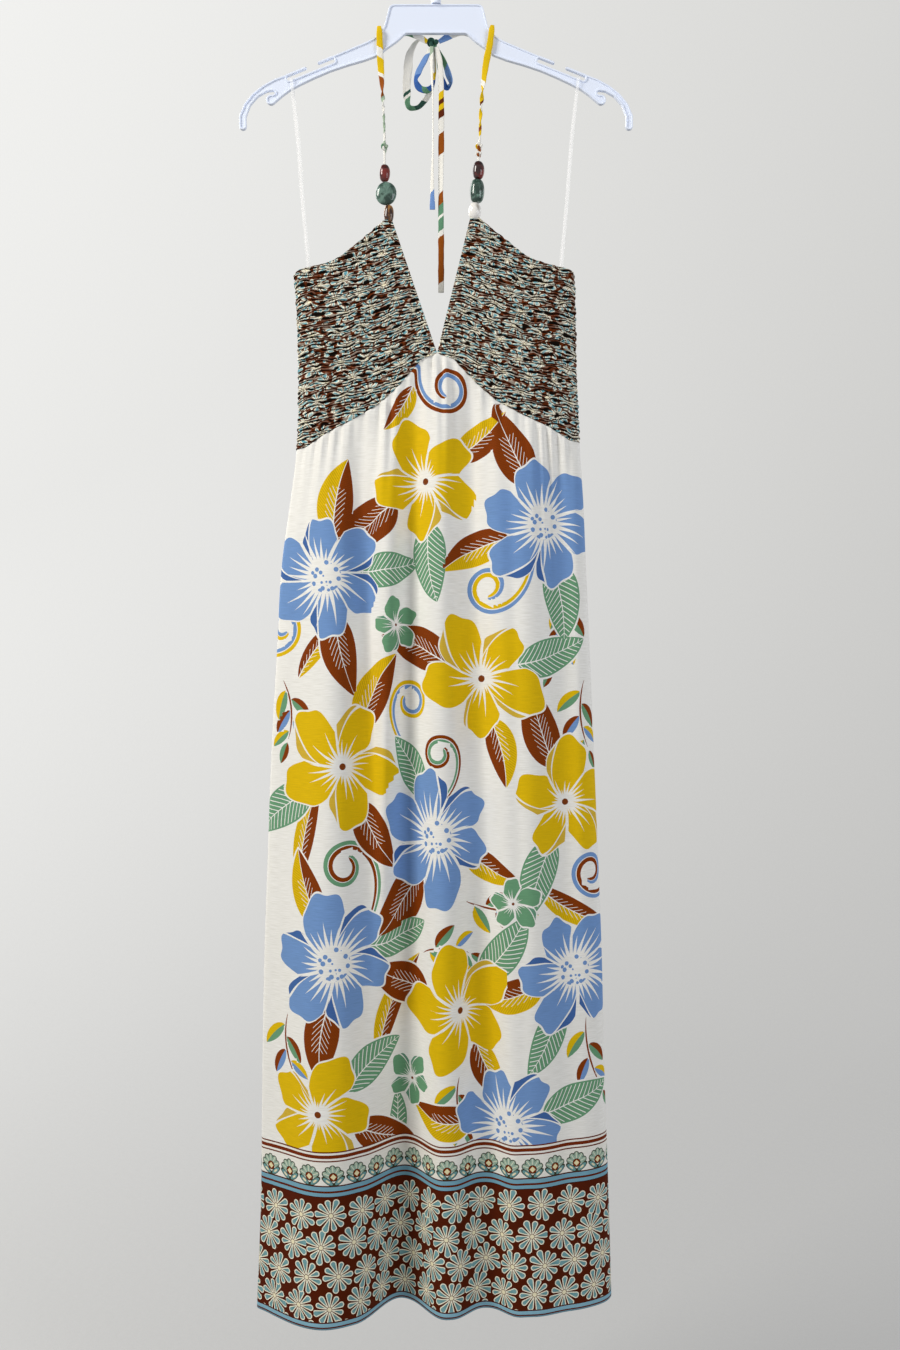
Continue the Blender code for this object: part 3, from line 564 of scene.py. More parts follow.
def make_knot(name, centre, size, ply, bands, slot, *nodes):
    """A knot of the turned strip, pulled tight: one ply laid along an overhand knot. centre is x, y and
    drop, and size is over all, in mm."""
    route = knot_route(np.array(centre) * MM * (1, 1, -1), (np.array(size) - ply) * MM)
    distance = travelled(route)
    plain = np.full(len(route), ply * MM)
    points = carried(route, plain, plain * 0.8, distance * 0, KNOT_SIDES, flatness=0.9)
    mesh = ring_mesh(name, points, caps=True)
    along_uv(mesh, distance, KNOT_SIDES)
    return make_piece(mesh, tie_material(name + "_viscose", bands, distance[-1]), slot, *nodes)


knot_left = make_knot(
    "strap_knot_left", (-56.0, -8.6, 222), (8.5, 7.5, 9.5), 2.9,
    ((0, "sage"), (9, "white"), (18, "sage"), (26, "green")), "white_strap_cloth",
)
knot_right = make_knot(
    "strap_knot_right", (47.3, -8.6, 221.5), (8.5, 7.5, 9), 2.9,
    ((0, "white"), (9, "rust"), (16, "white"), (26, "yellow")), "white_strap_cloth",
)
knot_right_low = make_knot(
    "strap_knot_right_low", (46.9, -8.7, 229.6), (7.5, 7, 7), 2.6,
    ((0, "white"), (8, "rust"), (15, "white")), "white_strap_cloth",
)
bow_knot = make_knot(
    "bow_knot_cloth", (-3.5, 9.0, 99), (13.5, 10.5, 12.5), 4.6,
    ((0, "deep_green"), (18, "green"), (30, "deep_green")), "green_strap_cloth", "bow_knot",
)


def make_bead_cord(side, x, low, high):
    """The thin corded end of the tie, seen where it leaves each bead, from the cup's point to the knot:
    x at its top and foot, and the drops of its foot and top, in mm."""
    drops = np.linspace(low, high, CORD_STEPS)
    route = np.stack([np.interp(drops, (high, low), x), 0 * drops + BEAD_Y / MM, -drops], axis=-1) * MM
    size = np.full(len(route), CORD_WIDTH)
    points = carried(route, size, size, drops * 0, CORD_SIDES, flatness=1.0)
    mesh = ring_mesh(f"bead_cord_{side}", points, caps=True)
    along_uv(mesh, np.linspace(0, (low - high) * MM, CORD_STEPS), CORD_SIDES)
    cotton = tie_material(f"bead_cord_{side}_cotton", BANDS_CORD, 100 * MM)
    return make_piece(mesh, cotton, "white_strap_cloth")


cord_left = make_bead_cord("left", (-56.0, -51.0), 303.5, 242)
cord_right = make_bead_cord("right", (46.5, 42.0), 301, 238.5)

strap_left, route, length = make_tie("halter_strap_left", STRAP_LEFT, BANDS_LEFT, "yellow_strap_cloth")
strap_right, route, length = make_tie("halter_strap_right", STRAP_RIGHT, BANDS_RIGHT, "yellow_strap_cloth")
for node, rows, bands, slot, far_end in (
    ("bow_loop_left", LOOP_LEFT, BANDS_LOOP_LEFT, "white_strap_cloth", "knot"),
    ("bow_loop_inner", LOOP_INNER, BANDS_LOOP_INNER, "blue_strap_cloth", "knot"),
    ("bow_loop_right", LOOP_RIGHT, BANDS_LOOP_RIGHT, "green_strap_cloth", "knot"),
    ("tie_tail_long", TAIL_LONG, BANDS_LONG, "white_strap_cloth", "bare"),
    ("tie_tail_short", TAIL_SHORT, BANDS_SHORT, "blue_strap_cloth", "bare"),
):
    piece, route, length = make_tie(node, rows, bands, slot, facing=node.startswith("bow"))

# ---------------------------------------------------------------------------------------------------
# Hanging loops. Clear elastic tape, sewn into the side seams and stretched up over the hanger's arms, so
# that the bodice hangs level.
# ---------------------------------------------------------------------------------------------------
TAPE_SIZE = (3.4, 0.8, 0)
# The left loop from the side seam over the hanger's arm and back: x, y and drop in mm. The right one is
# the left one turned over, a little further in and up.
LOOP_ROWS = (
    (-138.5, -6.8, 373),
    (-140.5, -6.6, 345),
    (-146.0, -5.0, 285),
    (-152.5, -4.0, 205),
    (-158.0, -3.6, 152),
    (-158.6, -3.2, 144.0),
    (-158.8, 0.0, 141.3),
    (-158.6, 3.2, 144.0),
    (-158.0, 3.6, 152),
    (-152.0, 4.0, 205),
    (-146.0, 4.6, 285),
    (-140.5, 5.0, 345),
    (-138.5, 5.2, 373),
)
INWARD, UPWARD = 2.4, 1.0
HANGING_LEFT = [(x, y, drop, *TAPE_SIZE) for x, y, drop in LOOP_ROWS]
HANGING_RIGHT = [(-x - INWARD, y, drop - UPWARD, *TAPE_SIZE) for x, y, drop in LOOP_ROWS]
TAPE_STEPS = 6
TAPE_SIDES = 12

# Clear polyurethane tape, extruded: colourless and smooth, with a soft gloss. Its white base at 0.3 alpha is
# a painted sheen that shows it as a pale strip.
clear_tape, _, tape_shader = new_material("clear_polyurethane_tape", Roughness=0.2, IOR=1.4, Alpha=0.3)
tape_shader.inputs["Base Color"].default_value = linear("FFFFFF")
for node, rows in (("hanging_loop_left", HANGING_LEFT), ("hanging_loop_right", HANGING_RIGHT)):
    route, widths, thicknesses, turns, distance = tie_route(rows, TAPE_STEPS)
    points = carried(route, widths, thicknesses, turns, TAPE_SIDES, flatness=0.35)
    mesh = ring_mesh(node + "_tape", points, caps=True)
    piece = make_piece(mesh, clear_tape, "clear_elastic", node)

# ---------------------------------------------------------------------------------------------------
# The dress's form, which its cloth follows as it hangs nearly flat: its section at drops below the hook,
# with a flat front and back and rounded sides. Bodice and skirt are cut and sewn to the same form.
# ---------------------------------------------------------------------------------------------------
# Drop, the places across of both side seams, and the depths of front, back and right side seam, in mm.
BODY_COLUMNS = ("drop", "left", "right", "front", "back", "seam_right")
BODY_ROWS = (
    (300, -155, 152, -11, 12, 0),
    (364, -155, 152, -17, 14, 0),
    (400, -153, 153, -21, 16, 0),
    (455, -151, 154, -24, 18, 0),
    (548, -153, 158, -26, 22, 0),
    (606, -160, 162, -28, 25, 1),
    (672, -169, 165, -29, 28, 3),
    (772, -175, 170, -29, 32, 7),
    (882, -181, 175, -28, 36, 11),
    (992, -185, 180, -27, 39, 16),
    (1112, -189, 185, -25, 41, 21),
    (1222, -191, 188, -23, 43, 26),
    (1390, -193, 194, -21, 45, 30),
    (1493, -197, 197, -20, 46, 32),
)
BODY = dict(zip(BODY_COLUMNS, np.array(BODY_ROWS).T * MM))
ROUNDNESS = 2.6
# The seam under the cups: share of the way from the middle to the side, and drop in mm.
SEAM_ROWS = (
    (0.00, 451), (0.12, 459), (0.28, 486), (0.42, 505), (0.60, 520),
    (0.78, 533), (0.92, 547), (0.98, 548), (1.00, 548),
)
SEAM_SHARE, SEAM_DROP = np.array(SEAM_ROWS).T * ((1.0,), (MM,))
SEAM_SKEW = 4 * MM
SEAM_REACH = 0.05


def body(column, z):
    """A size of the form at height z: a smooth curve through its column."""
    return through(-np.asarray(z, float), BODY["drop"], BODY[column])


def across(share, z):
    """Place across of a share of the width: -1 at the left side seam, 1 at the right one."""
    left, right = body("left", z), body("right", z)
    return (left + right) / 2 + share * (right - left) / 2


def depth(face, share, z):
    """Depth of the smooth cloth: seam + (middle - seam) * (1 - |share|^ROUNDNESS)^(1 / ROUNDNESS)."""
    seam = body("seam_right", z) * (1 + share) / 2
    rounding = (1 - np.clip(np.abs(share), 0, 1) ** ROUNDNESS) ** (1 / ROUNDNESS)
    return seam + (body(face, z) - seam) * rounding


def outward(face, share, z):
    """Horizontal unit normals of the smooth cloth, which point out of the dress."""
    step = 1e-4
    low = np.clip(share - step, -1, 1)
    high = np.clip(share + step, -1, 1)
    dx = across(high, z) - across(low, z)
    dy = depth(face, high, z) - depth(face, low, z)
    turned = np.stack([dy, -dx, np.zeros_like(dx)], axis=-1) * (1 if face == "front" else -1)
    normal = turned / np.linalg.norm(turned, axis=-1, keepdims=True)
    side = np.abs(share) > 1 - 1e-6
    normal[side] = np.stack([np.sign(share), share * 0, share * 0], axis=-1)[side]
    return normal


def seam_drop(share):
    """Drop of the seam under the cups, an inverted V that sits a little lower on the left."""
    return np.interp(np.abs(share), SEAM_SHARE, SEAM_DROP) - SEAM_SKEW * share


def own_side(points, face):
    """Keeps a panel's cloth a seam gap away from the side seams, on its own side of them."""
    sign = -1 if face == "front" else 1
    z = points[..., 2]
    share = np.clip((points[..., 0] - across(-1, z)) / (across(1, z) - across(-1, z)), 0, 1)
    limit = body("seam_right", z) * share + sign * SEAM_GAP
    near = np.minimum(share, 1 - share) < SEAM_REACH
    beyond = near & (sign * (points[..., 1] - limit) < 0)
    points[..., 1] = np.where(beyond, limit, points[..., 1])
    return points


# ---------------------------------------------------------------------------------------------------
# Smocked bodice. Printed viscose, gathered to about half its height by lines of shirring elastic, so that
# it puffs up in short level ridges between the rows. The edges are turned in and keep a small frill.
# ---------------------------------------------------------------------------------------------------
SIDE_TOP_DROP = 364 * MM
SIDE_TOP_ACROSS = 153 * MM
# A cup's top edge from the side seam to its point: distance out and drop in mm.
CUP_TOP_ROWS = (
    (153, 364), (149, 359), (125, 354), (104, 347), (84, 332), (66, 317), (51, 304.5), (42, 303.5),
)
APEX_LEAN = -5 * MM
SMOCKING_ROWS = 32
LINES_EACH = 8
FRILL_ROWS = 0.55
FRILL_LINES = 6
SMOCKING_LINES = np.linspace(0, SMOCKING_ROWS + FRILL_ROWS, SMOCKING_ROWS * LINES_EACH + FRILL_LINES)
CUP_COLUMNS = 148
HALF_BACK_COLUMNS = 84
ROW_PITCH = 5.7 * MM
RIDGES_EACH = 1.75
PUCKER_LENGTH = 15 * MM
RIDGE = 1.6 * MM
VALLEY = 0.7 * MM
# How much the elastic draws the cloth in, across and down, and how far its rows run level.
GATHERED = 1.28
SHORTENED = 1.79
LEVEL = 0.65
SIDE_FOOT = -548 * MM
CLOTH_THICKNESS = 0.5 * MM
# How many sines make up an uneven field.
WAVES = 7
# The back's top edge is scooped through the top SCOOP_SHARE of its height, out to SCOOP_REACH.
SCOOP_SHARE = 0.5
SCOOP_REACH = 0.86
SCOOP_POWER = 1.7

# How far apart the daisies are along a row and from row to row, and their size, as printed on flat cloth.
DAISY_ACROSS = 35 * MM
DAISY_DOWN = 32.2 * MM
DAISY_RADIUS = 18 * MM
DAISY_PETALS = 10


def daisy_print(tree, u, v, ground, petals, outline=0.06, rows_up=99):
    """Rows of daisies, each row half a place along from the next, up to rows_up of them: ten spoon petals
    with a cream outline, from a deeper ink at the heart to a paler one, round a cream eye. In radii of the
    daisy, a petal is what lies within 0.235 of the distance out from a line that runs from 0.2 to between
    0.68 and 0.88. The inks are clouded over about 6 mm. Odd and even rows are drawn apart, so that their
    petals may interlock."""
    node = partial(add_node, tree)
    shade = node("TexNoise", node("CombineXYZ", u, v), 160.0, at=(0, 2))
    colour = ground
    for odd in (0, 1):
        rows = node("MULTIPLY_ADD", v, 0.5 / DAISY_DOWN, 0.25 + 0.5 * odd)
        row = node("FLOOR", rows)
        places = node("MULTIPLY_ADD", u, 1 / DAISY_ACROSS, node("MULTIPLY_ADD", row, 0.13, 0.55 * odd))
        cell = node("CombineXYZ", node("FLOOR", places), node("ADD", row, 0.5 * odd))
        chance = node("SeparateXYZ", node("TexWhiteNoise", cell, noise_dimensions="2D", out=1))
        chances = chance.node.outputs
        p = node("SUBTRACT", node("FRACT", places), node("MULTIPLY_ADD", chance, 0.08, 0.46))
        q = node("SUBTRACT", node("FRACT", rows), node("MULTIPLY_ADD", chances[1], 0.05, 0.475))
        p = node("MULTIPLY", p, DAISY_ACROSS / DAISY_RADIUS)
        q = node("MULTIPLY", q, 2 * DAISY_DOWN / DAISY_RADIUS)
        r = node("SQRT", node("MULTIPLY_ADD", p, p, node("MULTIPLY", q, q)))
        r = node("MULTIPLY_ADD", node("GREATER_THAN", rows, rows_up / 2 + odd), 9.0, r)
        turn = node("MULTIPLY_ADD", node("ARCTAN2", q, p), DAISY_PETALS / (2 * math.pi), chances[2])
        angle = node("MULTIPLY", node("SUBTRACT", node("FRACT", turn), 0.5), 2 * math.pi / DAISY_PETALS)
        which = node("CombineXYZ", node("FLOORED_MODULO", node("FLOOR", turn), DAISY_PETALS), chance)
        length = node("MULTIPLY_ADD", node("TexWhiteNoise", which, noise_dimensions="2D"), 0.2, 0.68)
        x = node("MULTIPLY", r, node("COSINE", angle))
        y = node("MULTIPLY", r, node("SINE", angle))
        nearest = node("MINIMUM", node("MAXIMUM", x, 0.2), length)
        away = node("SUBTRACT", x, nearest)
        reach = node("SQRT", node("MULTIPLY_ADD", away, away, node("MULTIPLY", y, y)))
        edge = node("SUBTRACT", reach, node("MULTIPLY", nearest, 0.235))
        petal = node("Mix", node("MapRange", r, 0.2, 0.8), linear(petals[0]), linear(petals[1]), **MIX)
        petal = node("Mix", node("MULTIPLY", shade, 0.3), petal, linear("5B93B0"), **MIX)
        colour = node("Mix", node("LESS_THAN", edge, 0.0), colour, linear("F5F1DC"), **MIX)
        colour = node("Mix", node("LESS_THAN", edge, -outline), colour, petal, **MIX)
        colour = node("Mix", node("LESS_THAN", r, 0.13), colour, linear("F4ECCB"), **MIX)
    return colour


# How far the fine ridges wander up and down, and the print over them and with them. Then the tuck: its
# distance from the middle at the cup's foot, its lean outwards, its wander and half its width.
RIDGE_WANDER = 11 * MM
PRINT_WAVE = 0.6 * MM
PRINT_WANDER = 3 * MM
TUCK_ACROSS = 132 * MM
TUCK_LEAN = 0.115
TUCK_WANDER = 40 * MM
TUCK_HALF = 3 * MM


def smocked_material():
    """Crinkled printed viscose: fine ridges, nearly two to each row of elastic, which wander over 18 mm
    along and 9 mm up, and are broken into lengths of about 7 mm, with painted deep shade between them and
    a painted pale highlight on their crests. The print shifts where the cloth dips, its petals are a
    stronger blue than the border's because the painted shade dulls them, and one leaning tuck in each cup
    hides its daisies and holds less of the painted highlight."""
    made, tree, shader = new_material("smocked_daisy_viscose", Roughness=0.8, Specular_IOR_Level=0.05)
    node = partial(add_node, tree)
    place = node("UVMap", uv_map="rows")
    x = node("SeparateXYZ", place)
    y = x.node.outputs[1]
    wide = node("Mapping", place, (55.0, 110.0, 1.0), at=(0, 3))
    bend = node("TexNoise", wide, 1.0, 1.0, at=(0, 2, 3))
    waved = node("MULTIPLY_ADD", bend, RIDGE_WANDER, y)
    ridge = node("SINE", node("MULTIPLY", waved, 2 * math.pi / (ROW_PITCH / RIDGES_EACH)))
    short = node("Mapping", node("CombineXYZ", x, waved), (150.0, 420.0, 1.0), at=(0, 3))
    broken = node("TexNoise", short, 1.0, 1.0, at=(0, 2, 3))
    height = node("MULTIPLY_ADD", ridge, 0.42, node("MULTIPLY_ADD", broken, 2.1, -1.05))
    cloth = node("SeparateXYZ", node("UVMap", uv_map="cloth"))
    v = node("MULTIPLY_ADD", ridge, PRINT_WAVE, cloth.node.outputs[1])
    v = node("MULTIPLY_ADD", bend, PRINT_WANDER, v)
    ground = linear("622804")
    colour = daisy_print(tree, cloth, v, ground, ("44858A", "7BBBC7"), outline=0.07)
    lean = node("MULTIPLY_ADD", y, -TUCK_LEAN, node("ABSOLUTE", x))
    tuck = node("COMPARE", node("MULTIPLY_ADD", bend, TUCK_WANDER, lean), TUCK_ACROSS, TUCK_HALF)
    colour = node("Mix", tuck, colour, ground, **MIX)
    valley = node("Attribute", attribute_name="valley", out=2)
    level = node("MULTIPLY_ADD", valley, -0.22, height)
    # Painted shade: near-black where the cloth lies low between the ridges. Painted highlight: pale cream on
    # the crests, weaker in the tuck.
    shade = node("MapRange", level, -0.35, 0.02, 1.0, 0.0)
    crest = node("MapRange", level, 0.2, 0.42)
    crest = node("MULTIPLY", crest, node("MULTIPLY_ADD", tuck, -0.25, 0.35))
    colour = node("Mix", crest, colour, linear("F4F5E4"), **MIX)
    colour = node("Mix", shade, colour, linear("0E0703"), **MIX)
    tree.links.new(colour, shader.inputs["Base Color"])
    tree.links.new(node("Bump", 0.7, 1.4 * MM, height, at=(0, 1, 3)), shader.inputs["Normal"])
    return made


def uneven(x, y, seed):
    """A smooth uneven field, mostly from -1 to 1: the sum of WAVES sines with random directions, lengths
    and phases, over 0.55 * WAVES."""
    draw = np.random.default_rng(seed)
    total = 0
    for _ in range(WAVES):
        a, b = draw.uniform(0.5, 1.6, 2) * draw.choice((-1, 1), 2)
        total = total + np.sin(a * x + b * y + draw.uniform(0, 2 * math.pi))
    return total / (0.55 * WAVES)


def smooth_step(value, low, high):
    """A step from 0 at low to 1 at high: 3 t^2 - 2 t^3 of the share t of the way."""
    t = np.clip((value - low) / (high - low), 0, 1)
    return t * t * (3 - 2 * t)


def crinkle(x, line, edge):
    """Height of smocked cloth over its form, how deep in a valley it is, and how far its print shifts
    along. Between two rows of elastic it rises as sin^0.7, its crest wanders up and down, and puckers
    cross it at an uneven PUCKER_LENGTH. Near an edge it runs out into a plain turned hem."""
    row = np.floor(line)
    t = line - row
    drift = uneven(x / (9 * MM), row * 2.3, 11)
    crest = t + 0.24 * drift * np.sin(math.pi * t)
    phase = 2 * math.pi * x / PUCKER_LENGTH + 2.2 * uneven(x / (14 * MM), row * 1.7, 12)
    phase = phase + row * 2.4 + 1.2 * (t - 0.5)
    pucker = 0.8 + 0.2 * np.cos(phase)
    swell = 1 + 0.25 * uneven(x / (25 * MM), row * 0.9, 13)
    height = np.clip(np.sin(math.pi * crest), 0, 1) ** 0.7 * pucker * swell
    hem = smooth_step(edge, 1.5 * MM, 4.5 * MM)
    raised = (height * (RIDGE + VALLEY) - VALLEY) * hem + CLOTH_THICKNESS * (1 - hem)
    # How deep in a valley the cloth lies: the material paints this as shade.
    valley = np.clip(1.15 - 2.3 * height, 0, 1) * hem
    shift = 0.07 * PUCKER_LENGTH * np.sin(2 * phase) * hem
    return raised, valley, shift


def smocked_grid(face, share, z, line, edge):
    """Points of smocked cloth over the dress's form, its cloth coordinates, its valleys, and its places
    along and across the rows of elastic, which run nearly level: LEVEL of them follows the height, and the
    rest follows the lines of the grid."""
    x = across(share, z)
    rows = (1 - LEVEL) * line + LEVEL * (z - SIDE_FOOT) / ROW_PITCH
    raised, valley, shift = crinkle(x, rows, edge)
    surface = np.stack([x, depth(face, share, z), z], axis=-1)
    points = own_side(surface + outward(face, share, z) * raised[..., None], face)
    frill = np.clip(line - SMOCKING_ROWS, 0, 1)
    points[..., 1] += 0.9 * MM * frill * np.sin(x / (1.3 * MM) + uneven(x / (8 * MM), 0 * x, 14))
    cloth = np.stack([x * GATHERED + shift, rows * ROW_PITCH * SHORTENED], axis=-1)
    return points, cloth, valley, np.stack([x, rows * ROW_PITCH], axis=-1)


def cup_grid(side):
    """A cup as a patch stretched between its side seam, top edge, V edge and bottom seam, by adding the two
    ways of joining opposite edges and taking away the plain patch of its corners."""
    sign = -1 if side == "left" else 1
    line = SMOCKING_LINES[:, None]
    up = line / SMOCKING_ROWS
    toward = np.linspace(0, 1, CUP_COLUMNS)
    bottom_share = sign * (1 - toward)
    bottom_z = -seam_drop(bottom_share) + SEAM_GAP / 2
    bottom_x = across(bottom_share, bottom_z) + SEAM_GAP / 2 * sign * (toward == 1)
    top_x, top_drop = np.array(CUP_TOP_ROWS).T * MM
    reach = np.linspace(0, 1, len(top_x))
    top_x = sign * through(toward, reach, top_x) + APEX_LEAN * toward
    top_z = -through(toward, reach, top_drop) + sign * APEX_SKEW * toward
    side_z = bottom_z[0] + (top_z[0] - bottom_z[0]) * up
    side_x = across(float(sign), side_z)
    edge_z = bottom_z[-1] + (top_z[-1] - bottom_z[-1]) * up
    edge_x = bottom_x[-1] + (top_x[-1] - bottom_x[-1]) * up
    x = (1 - up) * bottom_x + up * top_x + (1 - toward) * side_x + toward * edge_x
    x -= (1 - up) * ((1 - toward) * bottom_x[0] + toward * bottom_x[-1])
    x -= up * ((1 - toward) * top_x[0] + toward * top_x[-1])
    z = (1 - up) * bottom_z + up * top_z + (1 - toward) * side_z + toward * edge_z
    z -= (1 - up) * ((1 - toward) * bottom_z[0] + toward * bottom_z[-1])
    z -= up * ((1 - toward) * top_z[0] + toward * top_z[-1])
    middle = across(0.0, z)
    share = np.clip((x - middle) / (across(1.0, z) - middle), -1, 1)
    edge = np.abs(edge_x - x) + 0 * share
    return smocked_grid("front", share, z, line + 0 * share, edge)


def back_grid(sign):
    """Half of the smocked back band: level rows whose top edge is scooped down to the centre, where the
    cloth starts at the share SCOOP_REACH * rise^(1 / SCOOP_POWER) of the half width."""
    line = SMOCKING_LINES[:, None]
    rise = np.clip(line / SMOCKING_ROWS - SCOOP_SHARE, 0, SCOOP_SHARE) / SCOOP_SHARE
    end = SCOOP_REACH * rise ** (1 / SCOOP_POWER)
    share = sign * (end + (1 - end) * np.linspace(1, 0, HALF_BACK_COLUMNS))
    low = -seam_drop(1.0) + SEAM_SKEW * (share - 1)
    z = low + line / SMOCKING_ROWS * (-SIDE_TOP_DROP - low)
    edge = np.where(rise > 0, (np.abs(share) - end) * SIDE_TOP_ACROSS, 1.0) + 0 * share
    return smocked_grid("back", share, z, line + 0 * share, edge)


def cloth_mesh(name, grids, inward):
    """A thin shell of cloth over one or more grids of points, welded where they meet, with the maps cloth
    and rows and the attribute valley."""
    quads, start = [], 0
    for _, _, valley, _ in grids:
        quads.append(grid_quads(np.arange(start, start + valley.size).reshape(valley.shape)))
        start += valley.size
    faces = np.concatenate(quads)
    points, cloth, valley, row_places = (
        np.concatenate([part.reshape(-1, width) for part in parts])
        for parts, width in zip(zip(*grids), (3, 2, 1, 2))
    )
    mesh = bpy.data.meshes.new(name)
    mesh.from_pydata(points.tolist(), [], faces.tolist())
    write_uv(mesh, "cloth", cloth[faces.reshape(-1)])
    write_uv(mesh, "rows", row_places[faces.reshape(-1)])
    layer = mesh.attributes.new("valley", "FLOAT", "POINT")
    layer.data.foreach_set("value", valley.astype(np.float32).reshape(-1))
    shell = bmesh.new()
    shell.from_mesh(mesh)
    bmesh.ops.remove_doubles(shell, verts=shell.verts, dist=0.02 * MM)
    bmesh.ops.recalc_face_normals(shell, faces=shell.faces)
    probe = max(shell.faces, key=lambda face: inward * face.calc_center_median().y)
    if probe.normal.y * inward < 0:
        bmesh.ops.reverse_faces(shell, faces=shell.faces)
    shell.to_mesh(mesh)
    shell.free()
    mesh.shade_smooth()
    return mesh


def thicken(piece):
    """The cloth's own thickness, laid inside its outer face."""
    wall = piece.modifiers.new("cloth", "SOLIDIFY")
    wall.thickness = CLOTH_THICKNESS
    wall.offset = -1
    return piece


smocked_cloth = smocked_material()
for side in ("left", "right"):
    mesh = cloth_mesh(f"cup_{side}_smocked", [cup_grid(side)], -1)
    cup = thicken(make_piece(mesh, smocked_cloth, "smocked_cloth", f"cup_{side}"))
mesh = cloth_mesh("bodice_back_smocked", [back_grid(-1), back_grid(1)], 1)
bodice_back = thicken(make_piece(mesh, smocked_cloth, "smocked_cloth", "bodice_back"))

# ---------------------------------------------------------------------------------------------------
# Print. Screen-printed on the white cloth before it is cut: big open blooms with veined leaves, two-tone
# blades, sprigs and curls, each parted from the next by a thin white gap. Above the hem runs a border of
# stripes, a row of flower heads and four rows of daisies.
# ---------------------------------------------------------------------------------------------------
# The tables of the print are in mm on the flat cloth, u from the panel's middle and v up from the hem, and
# in degrees from +u towards +v.
PRINT_INKS = {
    "blue": "7499CF",
    "yellow": "E3BC06",
    "rust": "853902",
    "green": "6B9E79",
}
LEAF_COLUMNS = ("from_u", "from_v", "heading", "length", "width", "bend", "right_ink", "left_ink", "form")
# How full a leaf is along its length: the powers of the distances from its base and from its tip. Then how
# its bend gathers towards the tip, and its veins: 0 for none, 0.7 for a midrib alone, 1 with feathery
# strokes beside it and 2 with side veins.
LEAF_FORMS = {
    "veined": (0.55, 0.85, 1.0, 2),
    "plain": (0.6, 0.95, 1.0, 1),
    "blade": (0.9, 1.1, 1.0, 1),
    "slip": (0.7, 0.8, 1.0, 0),
    "curl": (0.45, 0.22, 2.2, 0.7),
}
BLOOM_COLUMNS = ("u", "v", "radius", "petals", "turn", "ink", "leaves")
# Each bloom's leaves: the direction from its centre in degrees, length, width, bend and kind.
BLOOM_LEAF_KINDS = {
    "rust": ("rust", "rust", "plain"),
    "two_tone": ("rust", "yellow", "plain"),
    "golden": ("yellow", "rust", "plain"),
    "green": ("green", "green", "veined"),
}
FRONT_BLOOMS = (
    (-14, 902, 61, 5, 0.2, "yellow",
     ((208, 76, 38, -30, "rust"), (278, 88, 42, 25, "green"), (38, 66, 28, 20, "two_tone"))),
    (122, 858, 59, 6, 0.5, "blue",
     ((205, 70, 30, 30, "two_tone"), (285, 90, 42, -30, "green"), (112, 80, 36, -20, "rust"))),
    (-140, 800, 59, 6, 0.1, "blue",
     ((8, 78, 38, 20, "green"), (285, 76, 34, 30, "rust"), (75, 74, 32, -25, "two_tone"))),
    (58, 690, 62, 5, 0.7, "yellow",
     ((160, 76, 36, 30, "rust"), (20, 84, 40, 25, "green"), (285, 64, 28, -30, "two_tone"))),
    (-52, 748, 26, 5, 0.3, "green", ()),
    (-122, 596, 61, 5, 0.0, "yellow",
     ((60, 80, 34, -30, "two_tone"), (215, 88, 42, 25, "green"), (300, 70, 32, 30, "rust"))),
    (2, 520, 62, 6, 0.4, "blue",
     ((118, 78, 34, 30, "green"), (232, 86, 38, -25, "rust"), (335, 70, 30, 25, "golden"))),
    (160, 556, 58, 5, 0.6, "yellow",
     ((110, 78, 36, -20, "rust"), (250, 92, 42, 25, "green"))),
    (-132, 386, 61, 6, 0.8, "blue",
     ((20, 80, 36, 30, "green"), (110, 70, 30, -25, "two_tone"), (262, 70, 32, 30, "rust"))),
    (32, 332, 61, 5, 0.15, "yellow",
     ((158, 74, 36, -30, "rust"), (52, 88, 40, 30, "green"), (300, 66, 28, 25, "two_tone"))),
    (172, 372, 57, 6, 0.35, "blue",
     ((195, 68, 30, -30, "two_tone"), (243, 84, 38, -25, "green"))),
    (98, 448, 26, 5, 0.9, "green", ()),
    (-156, 226, 58, 5, 0.55, "yellow",
     ((35, 84, 38, -25, "green"), (340, 74, 32, 30, "rust"))),
    (92, 206, 59, 6, 0.65, "blue",
     ((172, 74, 32, -30, "two_tone"), (18, 88, 40, 20, "green"))),
    (-40, 250, 26, 5, 0.2, "green", ()),
)
FRONT_LEAVES = (
    (-13, 1073, 250, 215, 10, 450, "rust", "blue", "curl"),
    (111, 842, 270, 205, 10, -450, "yellow", "blue", "curl"),
    (-93, 419, 70, 215, 10, 450, "green", "rust", "curl"),
    (-22, 600, 140, 190, 9.5, -450, "blue", "yellow", "curl"),
    (253, 501, 240, 190, 10, -450, "rust", "blue", "curl"),
    (-261, 746, 320, 190, 10, 450, "yellow", "blue", "curl"),
    (7, 554, 50, 160, 8.5, 450, "rust", "green", "curl"),
    (-30, 1006, 250, 60, 24, -30, "rust", "yellow", "plain"),
    (-176, 470, 85, 120, 26, -20, "rust", "yellow", "blade"),
    (-84, 278, 80, 130, 28, -34, "rust", "yellow", "blade"),
    (120, 470, 318, 120, 26, 30, "yellow", "rust", "blade"),
    (-176, 690, 60, 90, 22, -30, "yellow", "rust", "blade"),
    (-64, 178, 75, 62, 22, 20, "green", "green", "veined"),
)
